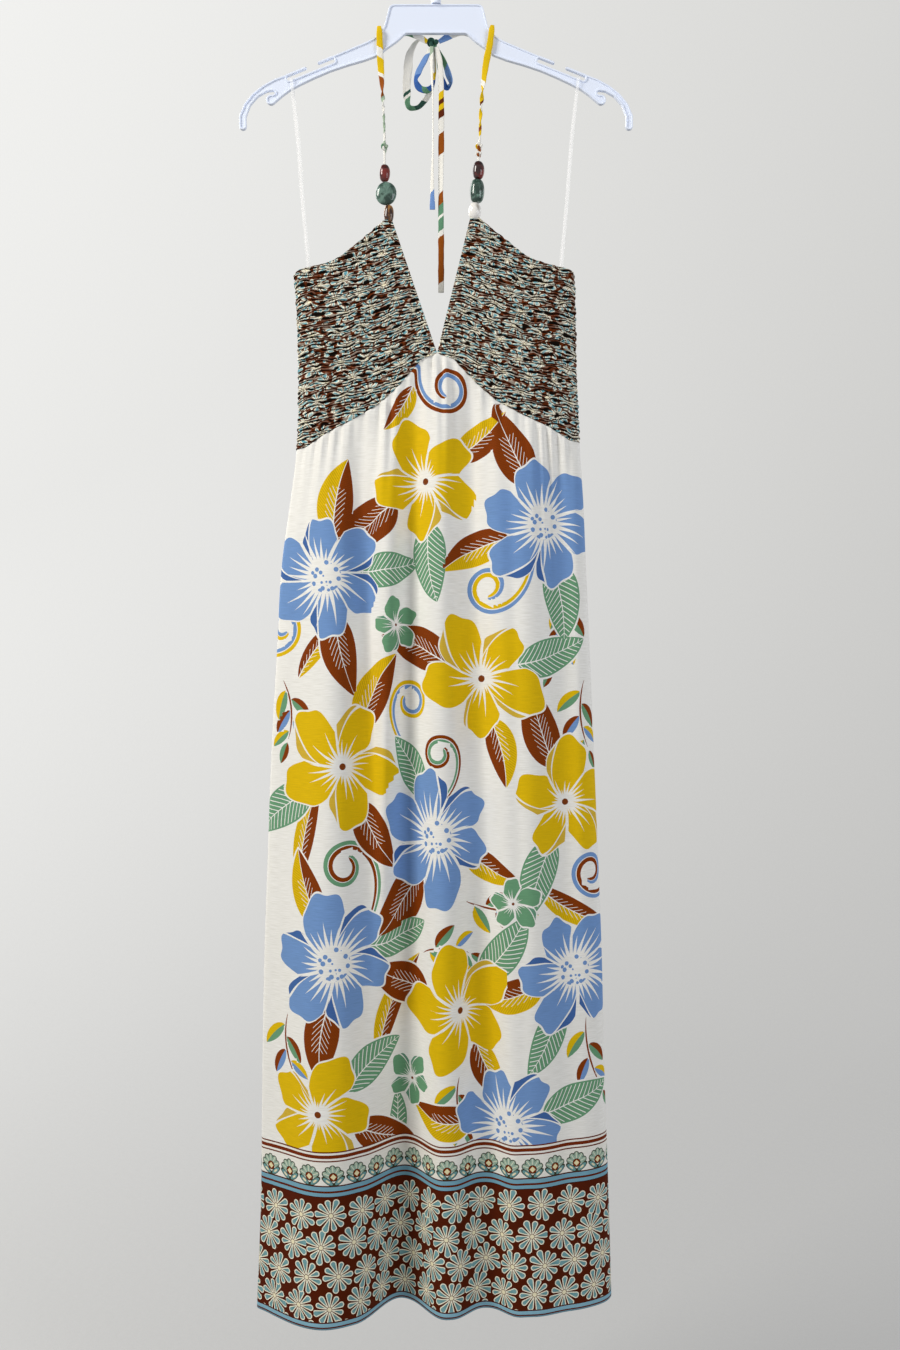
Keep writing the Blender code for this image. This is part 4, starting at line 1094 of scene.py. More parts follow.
BACK_BLOOMS = (
    (-90, 860, 60, 6, 0.5, "blue",
     ((210, 76, 34, 30, "rust"), (295, 84, 38, 25, "green"))),
    (70, 840, 60, 5, 0.1, "yellow",
     ((178, 70, 30, -30, "two_tone"), (290, 84, 38, -30, "green"))),
    (-20, 690, 60, 5, 0.8, "yellow",
     ((160, 74, 34, 30, "rust"), (0, 80, 36, 25, "green"))),
    (130, 660, 60, 6, 0.3, "blue",
     ((142, 50, 32, -30, "two_tone"), (235, 84, 38, 25, "green"))),
    (-140, 640, 58, 6, 0.0, "blue",
     ((100, 76, 32, -30, "two_tone"), (280, 84, 38, 25, "green"))),
    (40, 520, 60, 6, 0.6, "blue",
     ((150, 72, 32, 30, "rust"), (330, 84, 36, 25, "green"))),
    (-100, 460, 60, 5, 0.4, "yellow",
     ((30, 76, 34, 30, "green"), (250, 70, 30, 30, "rust"))),
    (140, 420, 58, 5, 0.7, "yellow",
     ((72, 66, 28, -30, "two_tone"), (260, 80, 36, -25, "green"))),
    (10, 330, 60, 5, 0.25, "yellow",
     ((185, 72, 34, -30, "rust"), (55, 82, 36, 30, "green"))),
    (-140, 290, 58, 6, 0.9, "blue",
     ((60, 80, 36, -25, "green"), (318, 70, 30, 30, "rust"))),
    (110, 230, 58, 6, 0.45, "blue",
     ((160, 70, 30, -30, "two_tone"), (50, 84, 38, 20, "green"))),
)
BACK_LEAVES = (
    (-7, 856, 230, 195, 10, 450, "rust", "blue", "curl"),
    (90, 659, 260, 190, 10, -450, "blue", "yellow", "curl"),
    (43, 358, 70, 200, 10, 450, "green", "rust", "curl"),
    (-59, 194, 120, 180, 9.5, -450, "yellow", "rust", "curl"),
    (258, 715, 200, 200, 10, -450, "rust", "blue", "curl"),
    (-258, 560, 300, 200, 10, 450, "yellow", "blue", "curl"),
    (-40, 440, 285, 140, 28, 30, "rust", "yellow", "blade"),
)
SPRIG_COLUMNS = ("u", "v", "heading", "length", "bend")
# Inks of a sprig's leaves, each with its own on the right and the next one's on the left. Then the stem's
# width, the length and width of its first leaf and how much smaller the next ones get, all in mm, and the
# turn of the leaves from the stem in degrees.
SPRIG_INKS = ("yellow", "green", "rust", "blue", "yellow", "green", "rust")
SPRIG_STEM = 2.2
SPRIG_LEAF = (34, 14)
SPRIG_TAPER = (2, 0.7)
SPRIG_SPREAD = 50
# The points of its stem's line between which a sprig's leaves spring, and how far out they start.
SPRIG_SPAN = (20, 118)
SPRIG_OUT = 2.5
FRONT_SPRIGS = (
    (150, 790, 290, 90, -50),
    (-196, 690, 300, 70, -50),
    (40, 450, 330, 75, 60),
    (-190, 330, 250, 80, 60),
    (-20, 392, 30, 70, -60),
    (30, 262, 250, 60, 50),
    (186, 320, 265, 90, 40),
    (180, 690, 250, 80, 50),
)
BACK_SPRIGS = (
    (150, 780, 200, 80, -50),
    (-60, 780, 200, 80, 50),
    (100, 580, 350, 70, 60),
    (-20, 390, 200, 80, -60),
    (180, 320, 230, 70, 60),
)
# The white gap round each motif, how far out of a bloom its leaves start, and how much bigger than their
# tables blooms and rust leaves are printed.
GAP = 2.2 * MM
LEAF_START = 0.72
BLOOM_SCALE = 1.2
RUST_SCALE = 1.22
# How far past its edge a motif owns the cloth, as a distance or as a share of a bloom's radius, the step
# that tells two arms of a curl apart, and the values that stand for no leaf and no bloom.
MOTIF_REACH = 8 * MM
BLOOM_REACH = 1.16
ARM_STEP = 16 * MM
NO_LEAF = -1.0
NO_BLOOM = 3.0
SPINE_POINTS = 120


def leaf_spine(leaf):
    """Points and directions along a leaf's middle line. Its heading has turned by bend * s^gather at the
    share s of its length."""
    _, _, gather, _ = LEAF_FORMS[leaf["form"]]
    heading = np.radians(leaf["heading"] + leaf["bend"] * np.linspace(0, 1, SPINE_POINTS) ** gather)
    ahead = np.stack([np.cos(heading), np.sin(heading)], axis=-1)
    stride = leaf["length"] * MM / (SPINE_POINTS - 1)
    points = np.cumsum(ahead, axis=0) * stride - ahead[0] * stride
    return points + np.array((leaf["from_u"], leaf["from_v"])) * MM, ahead


def leaf_places(leaf, cloth):
    """Where cloth points lie on a leaf: length along it, distance to the left of its middle line, its half
    width there less the distance beyond its ends, and share of its length."""
    spine, ahead = leaf_spine(leaf)
    from_base, from_tip, _, _ = LEAF_FORMS[leaf["form"]]
    offset = cloth[..., None, :] - spine
    nearest = np.argmin((offset**2).sum(axis=-1), axis=-1)
    offset = np.take_along_axis(offset, nearest[..., None, None], axis=-2)[..., 0, :]
    ahead = ahead[nearest]
    length = leaf["length"] * MM
    along = nearest / (SPINE_POINTS - 1) * length + (offset * ahead).sum(axis=-1)
    aside = ahead[..., 0] * offset[..., 1] - ahead[..., 1] * offset[..., 0]
    share = np.clip(along / length, 0, 1)
    fullest = from_base / (from_base + from_tip)
    peak = fullest**from_base * (1 - fullest) ** from_tip
    half = leaf["width"] * MM / 2 * share**from_base * (1 - share) ** from_tip / peak
    beyond = np.maximum(along - length, 0) + np.maximum(-along, 0)
    return along, aside, half - beyond, share


def bloom_leaves(blooms):
    """The leaves that spring from a panel's blooms, each headed out of its bloom."""
    found = []
    for row in blooms:
        bloom = dict(zip(BLOOM_COLUMNS, row))
        for direction, length, width, bend, kind in bloom["leaves"]:
            scale = RUST_SCALE if kind in ("rust", "two_tone") else 1
            turn = math.radians(direction)
            from_u = bloom["u"] + LEAF_START * bloom["radius"] * math.cos(turn)
            from_v = bloom["v"] + LEAF_START * bloom["radius"] * math.sin(turn)
            size = (direction - bend / 2, length * scale, width * scale, bend)
            found.append((from_u, from_v, *size, *BLOOM_LEAF_KINDS[kind]))
    return found


def sprig_leaves(sprigs):
    """The stems of a panel's sprigs, and the small leaves on them, on alternate sides, with the last one
    straight ahead."""
    found = []
    last = len(SPRIG_INKS) - 2
    for row in sprigs:
        sprig = dict(zip(SPRIG_COLUMNS, row))
        size = (sprig["heading"], sprig["length"], SPRIG_STEM, sprig["bend"])
        stem = (sprig["u"], sprig["v"], *size, "rust", "rust", "slip")
        found.append(stem)
        spine, ahead = leaf_spine(dict(zip(LEAF_COLUMNS, stem)))
        for place, inks in enumerate(zip(SPRIG_INKS, SPRIG_INKS[1:])):
            at = int(np.interp(place, (0, last), SPRIG_SPAN))
            side = 0 if place == last else SPRIG_SPREAD if place % 2 else -SPRIG_SPREAD
            heading = math.degrees(math.atan2(ahead[at, 1], ahead[at, 0])) + side
            turn = math.radians(heading)
            u, v = spine[at] / MM + SPRIG_OUT * np.array((math.cos(turn), math.sin(turn)))
            length, width = (full - less * place for full, less in zip(SPRIG_LEAF, SPRIG_TAPER))
            found.append((u, v, heading, length, width, -side / 2, *inks, "slip"))
    return found


def print_motifs(mesh, blooms, leaves, sprigs):
    """Lays the motifs on a panel's faces. A face belongs to the nearest motif of each layer, and its corners
    carry their places in that motif, which the material turns into leaves and petals. A bloom of six
    petals has a dotted heart."""
    cloth = np.empty(len(mesh.loops) * 2, np.float32)
    mesh.uv_layers["cloth"].data.foreach_get("uv", cloth)
    cloth = cloth.reshape(-1, 4, 2)
    middles = cloth.mean(axis=1)
    for layer, rows in (("leaf", bloom_leaves(blooms)), ("under", [*leaves, *sprig_leaves(sprigs)])):
        motifs = [dict(zip(LEAF_COLUMNS, row)) for row in rows]
        best = np.full(len(middles), MOTIF_REACH)
        chosen = np.full(len(middles), -1)
        for number, leaf in enumerate(motifs):
            spine, _ = leaf_spine(leaf)
            margin = leaf["width"] * MM / 2 + MOTIF_REACH
            inside = (middles > spine.min(axis=0) - margin) & (middles < spine.max(axis=0) + margin)
            near = np.flatnonzero(inside.all(axis=1))
            _, aside, half, _ = leaf_places(leaf, middles[near])
            edge = np.abs(aside) - half
            closer = edge < best[near]
            best[near[closer]] = edge[closer]
            chosen[near[closer]] = number
        places = np.zeros(cloth.shape)
        halves = np.full(cloth.shape, NO_LEAF)
        inks = np.zeros((2, len(middles), 4))
        for number, leaf in enumerate(motifs):
            faces = chosen == number
            along, aside, half, share = leaf_places(leaf, cloth[faces])
            half[np.ptp(along, axis=1) > ARM_STEP] = NO_LEAF
            places[faces] = np.stack([along, aside], axis=-1)
            halves[faces] = np.stack([half, share], axis=-1)
            veins = LEAF_FORMS[leaf["form"]][3] / 2
            inks[0, faces] = (*linear(PRINT_INKS[leaf["right_ink"]])[:3], veins)
            inks[1, faces] = (*linear(PRINT_INKS[leaf["left_ink"]])[:3], veins)
        write_uv(mesh, layer, places)
        write_uv(mesh, layer + "_half", halves)
        for side, ink in zip(("_right", "_left"), inks):
            colours = mesh.attributes.new(layer + side, "FLOAT_COLOR", "FACE")
            colours.data.foreach_set("color", ink.reshape(-1))
    places = np.full(cloth.shape, NO_BLOOM)
    facts = np.zeros((len(middles), 3))
    inks = np.zeros((len(middles), 4))
    for number, row in enumerate(blooms):
        bloom = dict(zip(BLOOM_COLUMNS, row))
        radius = BLOOM_SCALE * bloom["radius"] * MM
        offset = (cloth - np.array((bloom["u"], bloom["v"])) * MM) / radius
        faces = np.linalg.norm(offset.mean(axis=1), axis=-1) < BLOOM_REACH
        places[faces] = offset[faces]
        facts[faces] = (number + bloom["turn"], bloom["petals"], bloom["petals"] - 5)
        inks[faces] = (*linear(PRINT_INKS[bloom["ink"]])[:3], GAP / radius)
    write_uv(mesh, "bloom", places)
    for name, kind, field, values in (
        ("bloom_facts", "FLOAT_VECTOR", "vector", facts),
        ("bloom_ink", "FLOAT_COLOR", "color", inks),
    ):
        mesh.attributes.new(name, kind, "FACE").data.foreach_set(field, values.reshape(-1))


# How far apart the fine lines, the feathery strokes and the side veins of a leaf are.
FINE_PITCH = 3.1 * MM
FEATHER_PITCH = 6.6 * MM
VEIN_PITCH = 6.2 * MM


def leaf_print(tree, layer, under, bare):
    """Leaves over a colour: each half its own ink, a white gap round the edge, and a white midrib that
    thins towards the tip. Plain ones have white feathery strokes beside it and fine darker lines out to
    the edge, and veined ones have slanting side veins."""
    node = partial(add_node, tree)
    along = node("SeparateXYZ", node("UVMap", uv_map=layer))
    aside = along.node.outputs[1]
    half = node("SeparateXYZ", node("UVMap", uv_map=layer + "_half"))
    share = half.node.outputs[1]
    right = node("Attribute", attribute_name=layer + "_right")
    left = node("Attribute", attribute_name=layer + "_left")
    veins = right.node.outputs["Alpha"]
    out = node("ABSOLUTE", aside)
    edge = node("SUBTRACT", out, half)
    ink = node("Mix", node("GREATER_THAN", aside, 0.0), right, left, **MIX)
    slant = node("MULTIPLY_ADD", out, -0.95, along)
    fine = node("LESS_THAN", node("FRACT", node("DIVIDE", slant, FINE_PITCH)), 0.25)
    fine = node("MULTIPLY", fine, node("LESS_THAN", edge, -1.0 * MM))
    fine = node("MULTIPLY", fine, node("COMPARE", veins, 0.5, 0.1))
    darker = node("Mix", node("MULTIPLY", fine, 0.35), ink, linear("5A2A0A"), **MIX)
    feather = node("DIVIDE", node("MULTIPLY_ADD", out, -1.5, along), FEATHER_PITCH)
    feather = node("LESS_THAN", node("FRACT", feather), 0.15)
    feather = node("MULTIPLY", feather, node("LESS_THAN", out, node("MULTIPLY", half, 0.5)))
    feather = node("MULTIPLY", feather, node("LESS_THAN", share, 0.62))
    feather = node("MULTIPLY", feather, node("COMPARE", veins, 0.5, 0.1))
    rib = node("LESS_THAN", out, node("MULTIPLY_ADD", share, -0.5 * MM, 0.75 * MM))
    rib = node("MULTIPLY", rib, node("GREATER_THAN", veins, 0.25))
    vein = node("LESS_THAN", node("FRACT", node("DIVIDE", slant, VEIN_PITCH)), 0.2)
    vein = node("MULTIPLY", vein, node("LESS_THAN", edge, -1.8 * MM))
    vein = node("MULTIPLY", vein, node("GREATER_THAN", veins, 0.75))
    drawn = node("Mix", node("MAXIMUM", node("MAXIMUM", rib, vein), feather), darker, bare, **MIX)
    parted = node("Mix", node("LESS_THAN", edge, GAP), under, bare, **MIX)
    return node("Mix", node("LESS_THAN", edge, 0.0), parted, drawn, **MIX)


def bloom_print(tree, under, bare):
    """Blooms over a colour. Each petal fills its share of the turn, parted from the next by a white line,
    out to a tip of 1 - fall * |share|^roundness, a little different for each. White strokes run out from the
    heart, part of each petal turns over darker, and the heart is dotted or has one brown eye."""
    node = partial(add_node, tree)
    p = node("SeparateXYZ", node("UVMap", uv_map="bloom"))
    q = p.node.outputs[1]
    seed = node("SeparateXYZ", node("Attribute", attribute_name="bloom_facts", out=1))
    petals, dotted = seed.node.outputs[1], seed.node.outputs[2]
    ink = node("Attribute", attribute_name="bloom_ink")
    gap = ink.node.outputs["Alpha"]
    r = node("SQRT", node("MULTIPLY_ADD", p, p, node("MULTIPLY", q, q)))
    swirl = node("MULTIPLY_ADD", r, 0.22, node("ARCTAN2", q, p))
    turn = node("MULTIPLY_ADD", swirl, node("DIVIDE", petals, 2 * math.pi), node("MULTIPLY", seed, 3.7))
    which = node("CombineXYZ", node("FLOORED_MODULO", node("FLOOR", turn), petals), seed)
    chance = node("SeparateXYZ", node("TexWhiteNoise", which, noise_dimensions="2D", out=1))
    chances = chance.node.outputs
    share = node("MULTIPLY_ADD", node("FRACT", turn), 2.0, -1.0)
    lean = node("ADD", share, node("MULTIPLY_ADD", chances[1], 0.36, -0.18))
    roundness = node("MULTIPLY_ADD", dotted, 0.6, 1.7)
    fall = node("POWER", node("ABSOLUTE", lean), roundness)
    fall = node("MULTIPLY", fall, node("MULTIPLY_ADD", dotted, -0.1, 0.46))
    wave = node("SINE", node("MULTIPLY_ADD", share, 9.0, node("MULTIPLY", chance, 6.0)))
    wave = node("MULTIPLY", wave, 0.03)
    tip = node("MULTIPLY", node("SUBTRACT", 1.0, fall), node("MULTIPLY_ADD", chance, -0.22, 1.06))
    tip = node("ADD", tip, wave)
    beyond = node("SUBTRACT", r, tip)
    half_turn = node("DIVIDE", math.pi, petals)
    to_side = node("MULTIPLY", node("SUBTRACT", 1.0, node("ABSOLUTE", share)), half_turn)
    parting = node("LESS_THAN", node("MULTIPLY", r, to_side), node("MULTIPLY", gap, 0.5))
    # Five tapering strokes in each petal.
    strokes = node("MULTIPLY_ADD", turn, 5.0, 0.3)
    stroke = node("FLOOR", strokes)
    luck = node("TexWhiteNoise", node("CombineXYZ", stroke, seed), noise_dimensions="2D")
    off = node("ABSOLUTE", node("SUBTRACT", node("FRACT", strokes), 0.5))
    off = node("MULTIPLY", off, node("MULTIPLY", half_turn, 2 / 5.0))
    reach = node("MULTIPLY_ADD", luck, 0.4, node("MULTIPLY_ADD", dotted, 0.2, 0.2))
    taper = node("SUBTRACT", 1.0, node("DIVIDE", r, reach))
    taper = node("MULTIPLY", taper, node("MULTIPLY_ADD", dotted, 0.02, 0.032))
    striation = node("LESS_THAN", node("MULTIPLY", off, r), taper)
    # The side of a petal that turns over, and the line along its edge.
    flip = node("MULTIPLY_ADD", node("GREATER_THAN", chances[2], 0.5), 2.0, -1.0)
    rim = node("MULTIPLY_ADD", node("DIVIDE", r, tip), -1.3, 1.62)
    turned = node("SUBTRACT", node("MULTIPLY", share, flip), rim)
    turns = node("LESS_THAN", chances[1], 0.62)
    dark = node("MULTIPLY", node("GREATER_THAN", turned, 0.0), turns)
    line = node("MULTIPLY", node("COMPARE", turned, 0.0, 0.05), turns)
    deeper = node("Mix", node("MULTIPLY_ADD", dotted, 0.75, 0.12), ink, linear("385FA0"), **MIX)
    colour = node("Mix", dark, ink, deeper, **MIX)
    white = node("MAXIMUM", node("MAXIMUM", parting, striation), line)
    colour = node("Mix", white, colour, bare, **MIX)
    # The heart.
    dots = node("TexVoronoi", node("UVMap", uv_map="bloom"), 11.0, at=(0, 2))
    dots = node("Mix", node("LESS_THAN", dots, 0.4), bare, ink, **MIX)
    heart = node("MULTIPLY", node("LESS_THAN", r, 0.25), dotted)
    colour = node("Mix", heart, colour, dots, **MIX)
    plain = node("SUBTRACT", 1.0, dotted)
    colour = node("Mix", node("MULTIPLY", node("LESS_THAN", r, 0.085), plain), colour, bare, **MIX)
    colour = node("Mix", node("MULTIPLY", node("LESS_THAN", r, 0.05), plain), colour, linear("7A3A10"), **MIX)
    parted = node("Mix", node("LESS_THAN", beyond, gap), under, bare, **MIX)
    return node("Mix", node("LESS_THAN", beyond, 0.0), parted, colour, **MIX)


HEAD_PITCH = 26.5 * MM
HEAD_FOOT = 150.7 * MM
HEAD_HEIGHT = 25 * MM
HEART_UP = 9.5 * MM
LOBE_TURN = math.radians(34)
LOBES_TO = math.radians(102)
LOBE_OUT = 9.2 * MM
LOBE_RADIUS = 3.4 * MM
HEAD_INKS = {
    "line": "3A4030",
    "lobe": "9DB7A6",
    "rib": "DCE0CB",
    "leaf": "6E9DA0",
    "leaf_middle": "EDE3BE",
    "heart": "7A2C08",
    "eye": "EDE2B4",
}


def head_print(tree, u, v, ground):
    """A row of flower heads: a scalloped fan of seven lobes over a heart with a pale eye, between two
    leaves that narrow to a stem. A lobe is a round at LOBE_OUT from the heart, and a leaf an ellipse."""
    node = partial(add_node, tree)
    inks = {part: linear(code) for part, code in HEAD_INKS.items()}
    x = node("SUBTRACT", node("FRACT", node("DIVIDE", u, HEAD_PITCH)), 0.5)
    x = node("MULTIPLY", x, HEAD_PITCH)
    y = node("SUBTRACT", v, HEAD_FOOT + HEART_UP)
    r = node("SQRT", node("MULTIPLY_ADD", x, x, node("MULTIPLY", y, y)))
    angle = node("ARCTAN2", x, y)
    part = node("FRACT", node("MULTIPLY_ADD", angle, 1 / LOBE_TURN, 0.5))
    part = node("MULTIPLY", node("SUBTRACT", part, 0.5), LOBE_TURN)
    along = node("MULTIPLY_ADD", r, node("COSINE", part), -LOBE_OUT)
    aside = node("MULTIPLY", r, node("SINE", part))
    edge = node("SQRT", node("MULTIPLY_ADD", along, along, node("MULTIPLY", aside, aside)))
    edge = node("SUBTRACT", edge, LOBE_RADIUS)
    edge = node("MINIMUM", edge, node("SUBTRACT", r, LOBE_OUT))
    shown = node("LESS_THAN", node("ABSOLUTE", angle), LOBES_TO)
    fan = node("MULTIPLY", node("LESS_THAN", edge, 0.0), shown)
    inner = node("MULTIPLY", node("LESS_THAN", edge, -1.0 * MM), shown)
    colour = node("Mix", fan, ground, inks["line"], **MIX)
    colour = node("Mix", inner, colour, inks["lobe"], **MIX)
    ribs = node("MULTIPLY", node("LESS_THAN", node("ABSOLUTE", aside), 0.45 * MM), inner)
    colour = node("Mix", ribs, colour, inks["rib"], **MIX)
    side = node("ABSOLUTE", x)
    a = node("MULTIPLY_ADD", side, 0.8, node("MULTIPLY_ADD", y, 0.6, -2.2 * MM))
    b = node("MULTIPLY_ADD", side, -0.6, node("MULTIPLY_ADD", y, 0.8, 7.4 * MM))
    leaf = node("SQRT", node("MULTIPLY_ADD", a, node("MULTIPLY", a, 0.14), node("MULTIPLY", b, b)))
    diamond = node("ADD", side, node("ABSOLUTE", y))
    for distance, limit, ink in (
        (leaf, 2.9, "line"),
        (leaf, 2.2, "leaf"),
        (leaf, 1.0, "leaf_middle"),
        (r, 4.7, "line"),
        (r, 4.1, "heart"),
        (diamond, 3.2, "eye"),
    ):
        colour = node("Mix", node("LESS_THAN", distance, limit * MM), colour, inks[ink], **MIX)
    stem = node("MULTIPLY", node("LESS_THAN", side, 0.8 * MM), node("LESS_THAN", y, -6 * MM))
    return node("Mix", stem, colour, inks["line"], **MIX)


BORDER_TOP = 187 * MM
DAISIES_FROM = 7.8 * MM
DAISIES_TO = 138.2 * MM
DAISIES_FOOT = 6.5 * MM
BORDER_DAISY_ROWS = 4
# The border's stripes by height above the hem in mm: each runs up to the next.
STRIPES = (
    (0, "86B4C8"), (1.2, "5E2208"), (2.5, "86B4C8"), (6.2, "4A1A08"), (7.8, "521A02"), (138.2, "3A1A10"),
    (139.2, "78A9BE"), (143, "5E2208"), (145.2, "78A9BE"), (149.4, "4A1A08"), (151, "F1EFE8"),
    (175.4, "6A2808"), (177.2, "F1EFE8"), (179.6, "742A08"), (182.8, "F1EFE8"), (185.2, "6A2808"),
)


def border_print(tree, u, v, above):
    """The border, below a colour: stripes by height above the hem, with the daisies and heads between."""
    node = partial(add_node, tree)
    ramp = node("ValToRGB", node("DIVIDE", v, BORDER_TOP))
    stops = ramp.node.color_ramp
    stops.interpolation = "CONSTANT"
    stops.elements[0].color = linear(STRIPES[0][1])
    stops.elements.remove(stops.elements[1])
    for start, ink in STRIPES[1:]:
        stops.elements.new(start * MM / BORDER_TOP).color = linear(ink)
    up = node("SUBTRACT", v, DAISIES_FOOT)
    daisies = daisy_print(tree, u, up, ramp, ("46766F", "7CA9AC"), rows_up=BORDER_DAISY_ROWS)
    in_field = node("MULTIPLY", node("GREATER_THAN", v, DAISIES_FROM), node("LESS_THAN", v, DAISIES_TO))
    colour = node("Mix", in_field, ramp, daisies, **MIX)
    in_heads = node("LESS_THAN", v, HEAD_FOOT + HEAD_HEIGHT)
    in_heads = node("MULTIPLY", node("GREATER_THAN", v, HEAD_FOOT), in_heads)
    colour = node("Mix", in_heads, colour, head_print(tree, u, v, ramp), **MIX)
    return node("Mix", node("LESS_THAN", v, BORDER_TOP), above, colour, **MIX)


# Threads to a mm, drawn twice as coarse as real ones so that they show, and slubs to a mm, along and across.
THREADS = 2.6
SLUBS = (0.07, 1.9)


def weave(tree, place, shader, strength):
    """Plain-woven viscose: a bump of threads, with slubs, the longer thick places that run across the
    cloth."""
    stretched = add_node(tree, "Mapping", place, (SLUBS[0] / MM, SLUBS[1] / MM, 1.0), at=(0, 3))
    slubs = add_node(tree, "TexNoise", stretched, 1.0, 3.0, at=(0, 2, 3))
    fine = add_node(tree, "Mapping", place, (THREADS / MM, THREADS / MM, 1.0), at=(0, 3))
    threads = add_node(tree, "TexNoise", fine, 1.0, 1.0, at=(0, 2, 3))
    height = add_node(tree, "MULTIPLY_ADD", slubs, 1.6, threads)
    bump = add_node(tree, "Bump", strength, 0.3 * MM, height, at=(0, 1, 3))
    tree.links.new(bump, shader.inputs["Normal"])
    return slubs


def printed_material():
    """Printed slub viscose: white and softly lustrous, with uneven threads across it that show through the
    inks as faint streaks."""
    made, tree, shader = new_material("printed_slub_viscose", Roughness=0.7, Specular_IOR_Level=0.06)
    place = add_node(tree, "UVMap", uv_map="cloth")
    slubs = weave(tree, place, shader, 0.4)
    u = add_node(tree, "SeparateXYZ", place)
    v = u.node.outputs[1]
    bare = linear("F4F3EF")
    colour = leaf_print(tree, "under", bare, bare)
    colour = leaf_print(tree, "leaf", colour, bare)
    colour = bloom_print(tree, colour, bare)
    colour = border_print(tree, u, v, colour)
    streaks = add_node(tree, "MapRange", slubs, 0.35, 0.68, 0.0, 0.5)
    colour = add_node(tree, "Mix", streaks, colour, linear("D9D8D2"), blend_type="MULTIPLY", **MIX)
    tree.links.new(colour, shader.inputs["Base Color"])
    return made


printed_cloth = printed_material()
MOTIFS = {
    "front": (FRONT_BLOOMS, FRONT_LEAVES, FRONT_SPRIGS),
    "back": (BACK_BLOOMS, BACK_LEAVES, BACK_SPRIGS),
}

# ---------------------------------------------------------------------------------------------------
# Skirt. Two panels of slub viscose, gathered into the seam under the bodice and hanging in soft lengthwise
# folds, joined at the sides, with a narrow turned and stitched hem.
# ---------------------------------------------------------------------------------------------------
GATHERS = {"front": 20, "back": 16}
GATHER_HEIGHT = 2.3 * MM
HEM_DROP = 1493 * MM
FOLDS_DROP = 600 * MM
FOLD_LEVELS = (0.0, 0.45, 1.0)
# Each long fold in mm: where it runs, how far it reaches to each side and how far it stands out.
FOLD_COLUMNS = ("x_top", "x_hem", "reach_top", "reach_hem", "out_top", "out_middle", "out_hem")
FOLDS = {
    "front": (
        (-112, -122, 34, 85, 8, 19, 31),
        (-80, -70, 22, 30, -8, -6, 0),
        (-53, -50, 20, 26, 8, 4, 0),
        (-26, -38, 18, 48, -9, -20, -37),
        (4, 12, 22, 38, 8, 10, 9),
        (36, 56, 22, 36, -8, -11, -15),
        (68, 84, 16, 22, 5, 5, 3),
        (95, 108, 30, 42, 8, 9, 6),
        (134, 150, 20, 20, -6, -4, 0),
    ),
    "back": (
        (-95, -110, 50, 60, 3, 6, 8),
        (5, -5, 45, 55, -3, -6, -8),
        (90, 100, 50, 60, 3, 6, 8),
    ),
}
CREASE_SEEDS = {"front": 31, "back": 41}
SKIRT_COLUMNS = {"front": 177, "back": 121}
# Rows of points from the seam to the hem, as shares of the height: closest at the gathers and the hem.
SKIRT_ROWS = np.concatenate([np.linspace(0, 0.042, 32), np.linspace(0.0464, 0.992, 212), [0.9945, 0.997, 1]])
SIDE_REACH = 0.12
HEM_HEIGHT = 7 * MM
HEM_STEP = 1.5 * MM


def gathers(face, share, below):
    """How far the gathers push the cloth out and in: unevenly spaced cosines that fade as the cloth falls,
    with short puckers where the stitches hold them."""
    phase = GATHERS[face] * math.pi * (share + 0.03 * np.sin(7 * share + 0.5) + 0.018 * np.sin(17 * share))
    height = GATHER_HEIGHT * (0.75 + 0.25 * np.sin(16.6 * share + 1))
    swell = 1 - np.exp(-below / (6 * MM))
    fade_length = (24 + 34 * (1 + np.sin(11 * share)) ** 1.5 / 1.5) * MM
    fade = np.exp(-below / fade_length)
    pucker = np.cos(2.6 * phase + 2 * np.sin(9 * share)) * MM * np.exp(-below / (14 * MM))
    return np.cos(phase) * 1.25 * height * (0.08 + swell) * fade + pucker * (0.2 + swell)


def folds(face, x, z):
    """How far the long folds push the cloth out: a raised cosine across each fold."""
    fall = np.clip((-z - FOLDS_DROP) / (HEM_DROP - FOLDS_DROP), 0, 1)
    levels = np.array(FOLD_LEVELS)
    total = np.zeros_like(x)
    for row in FOLDS[face]:
        fold = dict(zip(FOLD_COLUMNS, np.array(row) * MM))
        place = fold["x_top"] + (fold["x_hem"] - fold["x_top"]) * fall
        reach = fold["reach_top"] + (fold["reach_hem"] - fold["reach_top"]) * fall
        heights = np.array([fold["out_top"], fold["out_middle"], fold["out_hem"]])
        aside = np.clip((x - place) / reach, -1, 1)
        total += through(fall, levels, heights) * (0.5 + 0.5 * np.cos(math.pi * aside))
    return total


def creases(x, z, below, seed):
    """Low uneven creases of hanging cloth, longer than they are wide and softer low down."""
    long = uneven(x / (11 * MM), z / (90 * MM), seed)
    slanted = uneven(x / (26 * MM) + z / (60 * MM), z / (150 * MM), seed + 1)
    return (0.9 * long * (0.5 + np.exp(-below / 0.3)) + 1.1 * slanted) * MM


